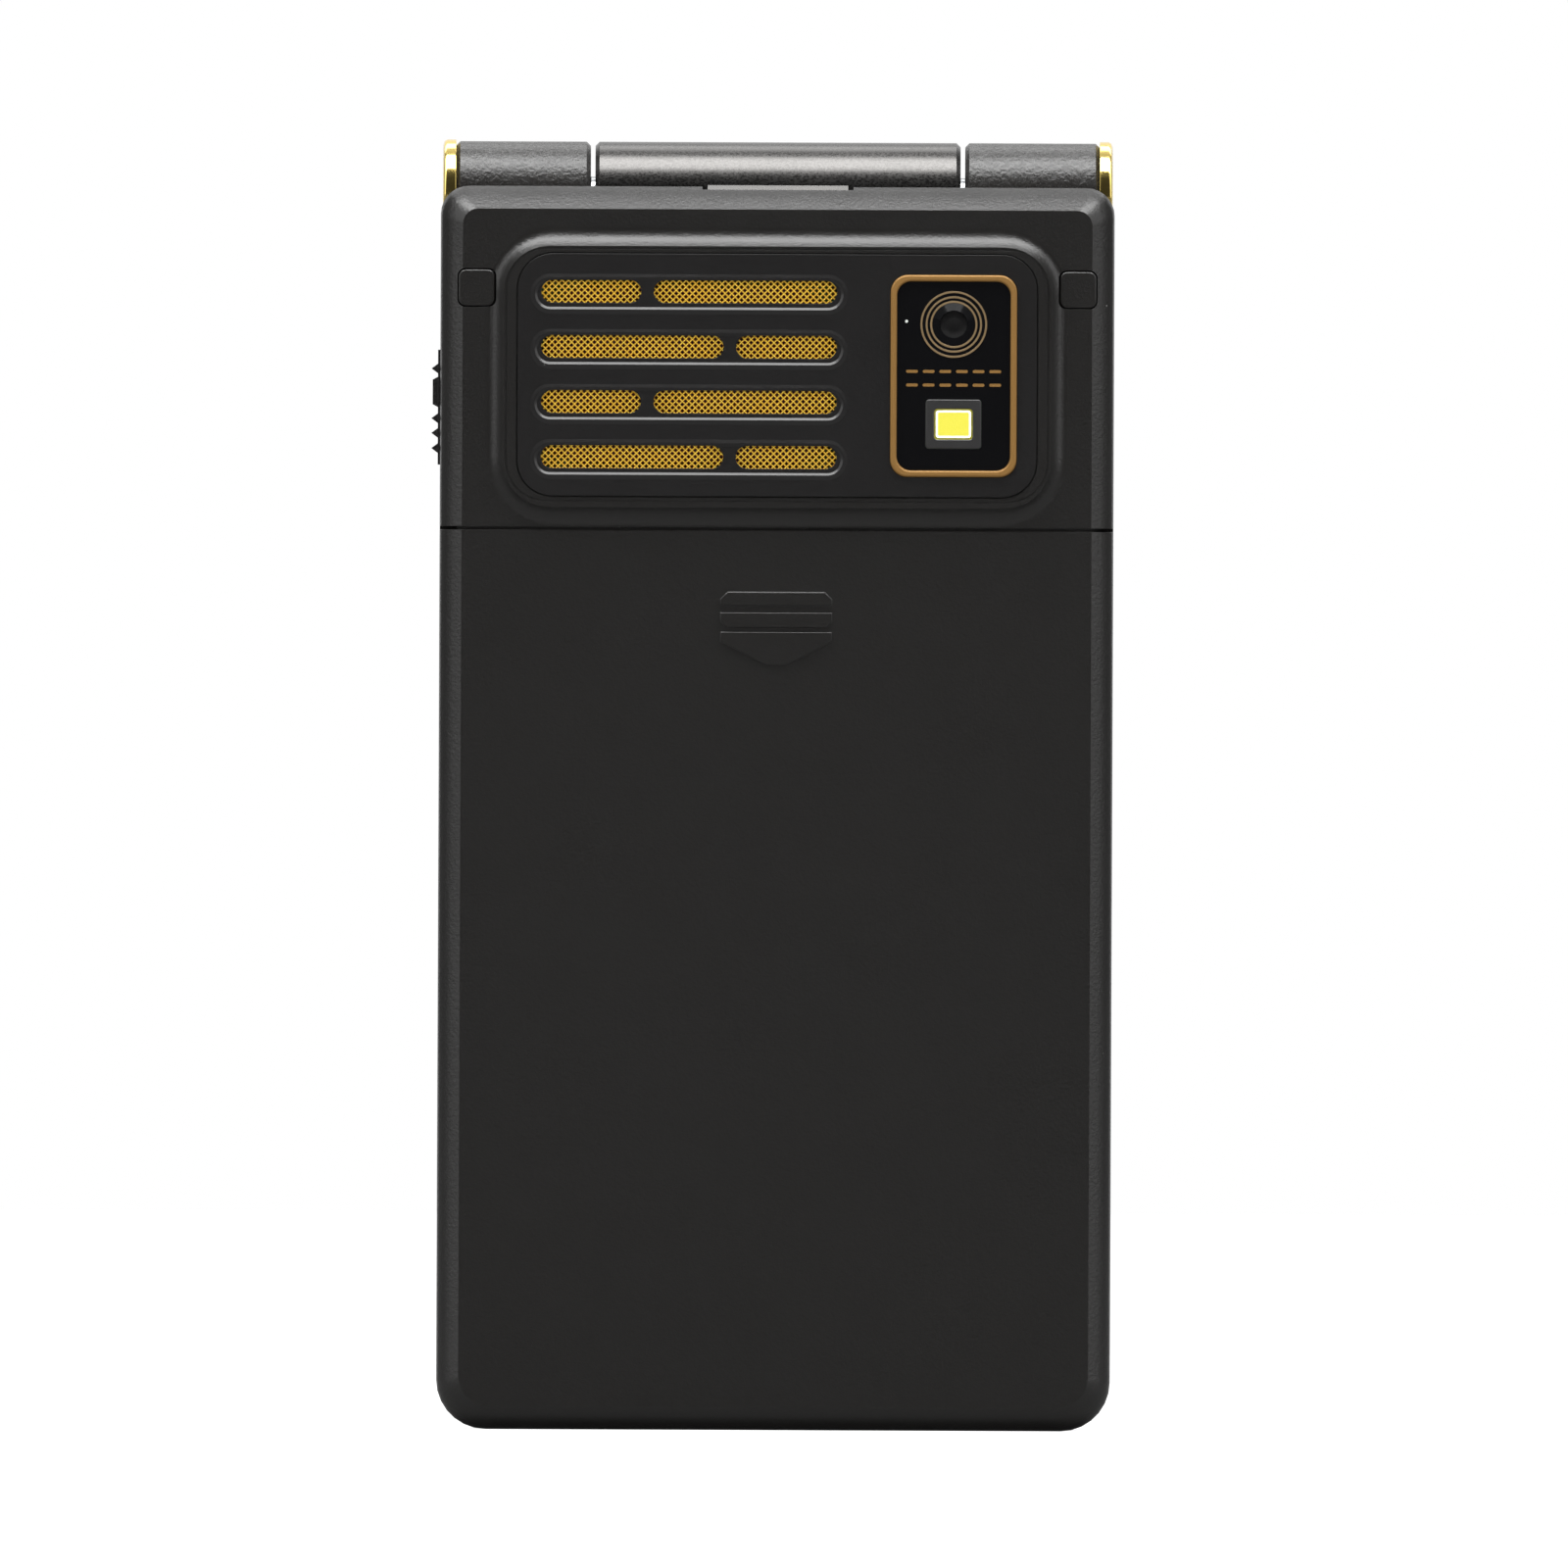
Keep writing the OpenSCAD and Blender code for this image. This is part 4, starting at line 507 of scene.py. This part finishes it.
def make_marks():
    """Two rows of small gold dashes between the lens and the light, and the pale dot beside the lens."""
    low, high = box_mm("camera_plate")
    middle = (low + high) / 2
    front, back = low.y - PRINT_H, low.y + PRINT_H
    step = (MARK_W - DASH_W) / (MARK_COUNT - 1)
    places = [(middle.x + (k - (MARK_COUNT - 1) / 2) * step, middle.z - MARK_DROP + up * (MARK_H - DASH_H) / 2)
              for k in range(MARK_COUNT) for up in (-1, 1)]
    dashes = [rounded_outline(x, z, DASH_W, DASH_H, DASH_H * 0.45) for x, z in places]
    add_piece("plate_marks", *prisms(dashes, front, back), "old_gold", "base")
    dot = rounded_outline(middle.x - DOT_SIDE, middle.z + DOT_UP, 2 * DOT_R, 2 * DOT_R, DOT_R)
    add_piece("plate_dot", *prisms([dot], front, back), "old_gold", "base", "mat_rubber")


LIGHT_W, LIGHT_H = 3.0, 2.34                  # size of the yellow light
RIM_W, RIM_T, RIM_DEPTH = 0.17, 0.2, 0.09     # its rim: width, thickness and place behind the window's face
RIM_R_OUT, RIM_R_IN = 0.25, 0.12              # corners of the rim


def make_light_rim():
    """Clear resin rim of the yellow light, paler than its middle."""
    low = box_mm("flash_window")[0]
    middle = centre_mm("flash_window")
    outer = rounded_outline(middle.x, middle.z, LIGHT_W, LIGHT_H, RIM_R_OUT)
    inner = rounded_outline(middle.x, middle.z, LIGHT_W - 2 * RIM_W, LIGHT_H - 2 * RIM_W, RIM_R_IN)
    front = low.y + RIM_DEPTH
    add_piece("light_rim", *frame_ring(outer, inner, front, front + RIM_T), "led_yellow", "base", "clear_resin")


# profiles of the lens as (radius, depth behind the back of the gold rings)
IRIS = [(0, 0.14), (0.5, 0.13), (1.1, 0.10), (1.16, 0.12), (1.16, 0.2), (0, 0.2)]
CELL = [(1.15, 0.12), (1.2, 0.02), (1.84, -0.02), (1.88, 0.02), (1.88, 0.2), (1.15, 0.2), (1.15, 0.12)]
LENS_SMOOTH = 30


def make_lens():
    """Dark grey iris in the middle of the lens, and the black ring that holds it, inside the gold rings."""
    face, middle = box_mm("lens_rings")[1].y, centre_mm("lens_rings")
    for name, profile, slot, finish in (("lens_iris", IRIS, "lens_glass", "iris_grey"),
                                        ("lens_cell", CELL, "gloss_black", "gloss_black")):
        verts, faces = turned(middle.x, middle.z, [(r, face + depth) for r, depth in profile])
        add_piece(name, verts, faces, slot, "base", finish, LENS_SMOOTH)


NUMBER_KEYS = ["key_star", "key_hash"] + ["key_%d" % k for k in range(10)]
READING_ORDER = "123456789*0#"
DIGIT_SIZE = 7.28      # font size of the numbers
DIGIT_BOLD, DIGIT_EDGE = 0.12, 0.015     # how much their strokes are widened, and the rounding of their edges
STAR_SIZE, STAR_DROP = 1.5, 1.872        # the star is a small sign that sits high in its line
PRINT_DEEP = 0.05      # how far a print reaches into a cushioned key


def make_numbers():
    """Raised numbers on the keys, in rows that read from the lid's side, where +X is to the left."""
    rows = sorted(NUMBER_KEYS, key=lambda key: (-round(centre_mm(key).z), -centre_mm(key).x))
    for node, sign in zip(rows, READING_ORDER):
        star = sign == "*"
        middle, top = centre_mm(node), box_mm(node)[1].y
        data = bpy.data.curves.new("number_" + node, "FONT")
        data.body = sign
        data.size = DIGIT_SIZE * MM * (STAR_SIZE if star else 1)
        data.align_x, data.align_y = "CENTER", "CENTER"
        data.extrude, data.bevel_depth, data.offset = PRINT_DEEP * MM, DIGIT_EDGE * MM, DIGIT_BOLD * MM
        data.materials.append(FINISH["legend_white"])
        obj = bpy.data.objects.new("number_" + node, data)
        obj.location = Vector((middle.x, top - PRINT_DEEP, middle.z - (STAR_DROP if star else 0))) * MM
        obj.rotation_euler = (math.pi / 2, 0, math.pi)
        bpy.context.scene.collection.objects.link(obj)
        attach(obj, node)


def arc_band(cx, cz, r_in, r_out, start, end, steps=16):
    """Outline of a bent band; angles in degrees from +X towards +Z."""
    angles = [math.radians(start + (end - start) * k / steps) for k in range(steps + 1)]
    outer = [(cx + r_out * math.cos(a), cz + r_out * math.sin(a)) for a in angles]
    inner = [(cx + r_in * math.cos(a), cz + r_in * math.sin(a)) for a in reversed(angles)]
    return outer + inner


def print_on(node, name, outlines, finish):
    """Thin raised print on the lid's side of a key."""
    high = box_mm(node)[1]
    verts, faces = prisms(outlines, high.y + PRINT_H, high.y - 2 * PRINT_DEEP)
    add_piece(name, verts, faces, "mat_rubber", node, finish)


GRIP_IN, GRIP_OUT, GRIP_HALF = 2.3, 3.1, 50     # receiver sign: radii of its grip, half its angle in degrees
GRIP_BACK = 1.5                                 # the grip's centre from the key's middle
EAR_W, EAR_H, EAR_R = 1.35, 1.5, 0.4            # ends of the receiver
EAR_SIDE, EAR_UP = 2.15, 1.45                   # their places from the grip's centre
BAR_W, BAR_H, BAR_R = 3.6, 0.6, 0.28            # bar on a soft key
POINTER, POINTER_IN = 0.8, 2.6                  # size of the ring's pointers, and their distance from its rim


def receiver(node, up):
    """Outlines of a receiver, lifted (up = 1) or put down (up = -1)."""
    c = centre_mm(node)
    base = c.z - up * GRIP_BACK
    grip = arc_band(c.x, base, GRIP_IN, GRIP_OUT, 90 * up - GRIP_HALF, 90 * up + GRIP_HALF)
    return [grip] + [rounded_outline(c.x + side * EAR_SIDE, base + up * EAR_UP, EAR_W, EAR_H, EAR_R)
                     for side in (-1, 1)]


def ring_pointers():
    """Outlines of the four small triangles on the navigation ring."""
    low, high = box_mm("nav_ring")
    c, reach = centre_mm("nav_ring"), (high.x - low.x) / 2 - POINTER_IN
    pointers = []
    for k in range(4):
        a = math.pi / 2 * k
        along, side = Vector((math.cos(a), math.sin(a))), Vector((-math.sin(a), math.cos(a)))
        at = Vector((c.x, c.z)) + along * reach
        pointers.append([tuple(at + along * POINTER), tuple(at + side * POINTER), tuple(at - side * POINTER)])
    return pointers


def make_signs():
    """Receiver signs on the call and end keys, short bars on the soft keys and pointers on the ring."""
    for node, up in (("call_key", 1), ("end_key", -1)):
        print_on(node, "sign_" + node, receiver(node, up), "legend_white")
    for node in ("soft_left", "soft_right"):
        c = centre_mm(node)
        print_on(node, "sign_" + node, [rounded_outline(c.x, c.z, BAR_W, BAR_H, BAR_R)], "legend_white")
    print_on("nav_ring", "sign_nav_ring", ring_pointers(), "key_print")


WINDOW_EDGE = 3.0                  # black border round a display's picture area
WINDOW_R, WINDOW_DEEP = 0.6, 0.1   # its corners, and how far it reaches into the lens


def make_windows():
    """Picture areas of both displays, a shade lighter than the border printed round them."""
    for node, name, outward in (("display_lens", "picture_area", -1), ("outer_lens", "outer_picture", 1)):
        low, high = box_mm(node)
        c, face = (low + high) / 2, (low.y if outward < 0 else high.y)
        w, h = high.x - low.x - 2 * WINDOW_EDGE, high.z - low.z - 2 * WINDOW_EDGE
        area = prisms([rounded_outline(c.x, c.z, w, h, WINDOW_R)],
                      face + outward * PRINT_H / 4, face - outward * WINDOW_DEEP)
        add_piece(name, *area, "lens_glass", "lid", "picture_glass")


TONGUE_GAP, TONGUE_T = 3, 0.6      # how much narrower the tongue is than the socket, and its thickness
PIN_COUNT, PIN_LENGTH = 5, 2.6
PIN_UP, PIN_H, PIN_R = 2.5, 0.05, 0.08     # middle above the socket's mouth, height over the tongue, corners


def make_pins():
    """Gold contacts round the charging socket's tongue."""
    low, high = box_mm("usb_socket")
    c, step = (low + high) / 2, (high.x - low.x - TONGUE_GAP) / PIN_COUNT
    pins = [rounded_outline(c.x + (k - (PIN_COUNT - 1) / 2) * step, low.z + PIN_UP,
                            step / 2, PIN_LENGTH, PIN_R, steps=2) for k in range(PIN_COUNT)]
    reach = TONGUE_T / 2 + PIN_H
    add_piece("socket_pins", *prisms(pins, c.y + reach, c.y - reach), "contact_gold", "base")


def make_details():
    make_gauze()
    make_marks()
    make_light_rim()
    make_lens()
    make_numbers()
    make_signs()
    make_windows()
    make_pins()


# ---------- floor, lights and camera ----------

LAMP_AIM = 0, 0, 0.09
LAMPS = {     # place, size, radiance, and whether glossy surfaces mirror the lamp
    "softbox": ((0, -0.184, 0.692), (0.90, 0.38), 10.0, True),
    "top": ((0, 0.345, 0.64), (0.90, 0.23), 3.0, True),
    "front_fill": ((0, -0.90, 0.20), (0.50, 0.40), 16.0, False),
    "lid_fill": ((0.15, 0.80, 0.30), (0.60, 0.40), 1.6, False),
}


def make_lights():
    """Soft rectangular lamps, each of an even radiance."""
    for name, (at, (width, height), radiance, mirrored) in LAMPS.items():
        data = bpy.data.lights.new(name, "AREA")
        data.shape, data.size, data.size_y = "RECTANGLE", width, height
        data.energy = radiance * math.pi * width * height
        obj = bpy.data.objects.new(name, data)
        obj.location = at
        obj.rotation_euler = (Vector(LAMP_AIM) - Vector(at)).to_track_quat("-Z", "Y").to_euler()
        obj.visible_glossy = mirrored
        bpy.context.scene.collection.objects.link(obj)


def make_world():
    """White backdrop behind the phone, a bright panel at each side in front of it, and dark round the camera.

    Directions are unit vectors: Y runs from the camera's side (-1) to the lid's side (1).
    """
    world = bpy.data.worlds.new("studio")
    world.use_nodes = True
    n = Nodes(world.node_tree)
    way = n.add("ShaderNodeSeparateXYZ", {0: n.add("ShaderNodeTexCoord").outputs["Generated"]})
    back_way = way.outputs["Y"]
    sideways = n.spread(n.math("ABSOLUTE", way.outputs["X"]), 0.3, 0.7)

    # room above and below: grows paler from the camera's side to the lid's side
    over = n.math("ADD", n.spread(back_way, -0.80, 0.0, 0.04, 0.50), n.spread(back_way, 0.0, 0.5, 0.0, 0.30))
    # room at the sides: a bright panel that ends beside the phone
    panel = n.spread(back_way, -0.85, -0.45, 0.04, 2.1)
    wing = n.math("MULTIPLY", panel, n.spread(back_way, -0.35, 0.0, 1.0, 0.12))
    level = n.math("ADD", n.math("MULTIPLY", sideways, n.math("SUBTRACT", wing, over)), over)

    # backdrop, which glossy and clear surfaces show; it starts farther back at the sides
    path = n.add("ShaderNodeLightPath")
    mirror = n.math("MAXIMUM", path.outputs["Is Glossy Ray"], path.outputs["Is Transmission Ray"])
    start = n.math("MULTIPLY", sideways, 0.4)
    backdrop = n.math("MULTIPLY", mirror, n.spread(n.math("SUBTRACT", back_way, start), 0.3, 0.7))
    white = n.math("MAXIMUM", path.outputs["Is Camera Ray"], backdrop)
    back = n.add("ShaderNodeBackground", {"Color": (1, 1, 1, 1), "Strength": n.math("MAXIMUM", level, white)})
    out = n.add("ShaderNodeOutputWorld")
    n.tree.links.new(back.outputs[0], out.inputs[0])
    bpy.context.scene.world = world


FLOOR_HALF = 3.0       # metres from its middle to its edge
FLOOR_GREY, FLOOR_GLOW = 0.16, 0.93     # its own grey, and what lifts it to white for the camera


def floor_finish(n, bsdf):
    """Matt floor, white where it is clear, which keeps the phone's shadow."""
    bsdf.inputs["Base Color"].default_value = (FLOOR_GREY, FLOOR_GREY, FLOOR_GREY, 1)
    bsdf.inputs["Roughness"].default_value = 0.9
    bsdf.inputs["Emission Color"].default_value = (1, 1, 1, 1)
    seen = n.add("ShaderNodeLightPath").outputs["Is Camera Ray"]
    n.put(bsdf.inputs["Emission Strength"], n.math("MULTIPLY", seen, FLOOR_GLOW))


def make_floor():
    half = FLOOR_HALF
    mesh = bpy.data.meshes.new("floor")
    corners = [(-half, -half, 0), (half, -half, 0), (half, half, 0), (-half, half, 0)]
    mesh.from_pydata(corners, [], [(0, 1, 2, 3)])
    mesh.materials.append(material("floor", floor_finish))
    floor = bpy.data.objects.new("floor", mesh)
    bpy.context.scene.collection.objects.link(floor)


dress_nodes()
make_details()
make_lights()
make_world()
make_floor()
make_camera()

bpy.context.scene.view_settings.view_transform = "Standard"
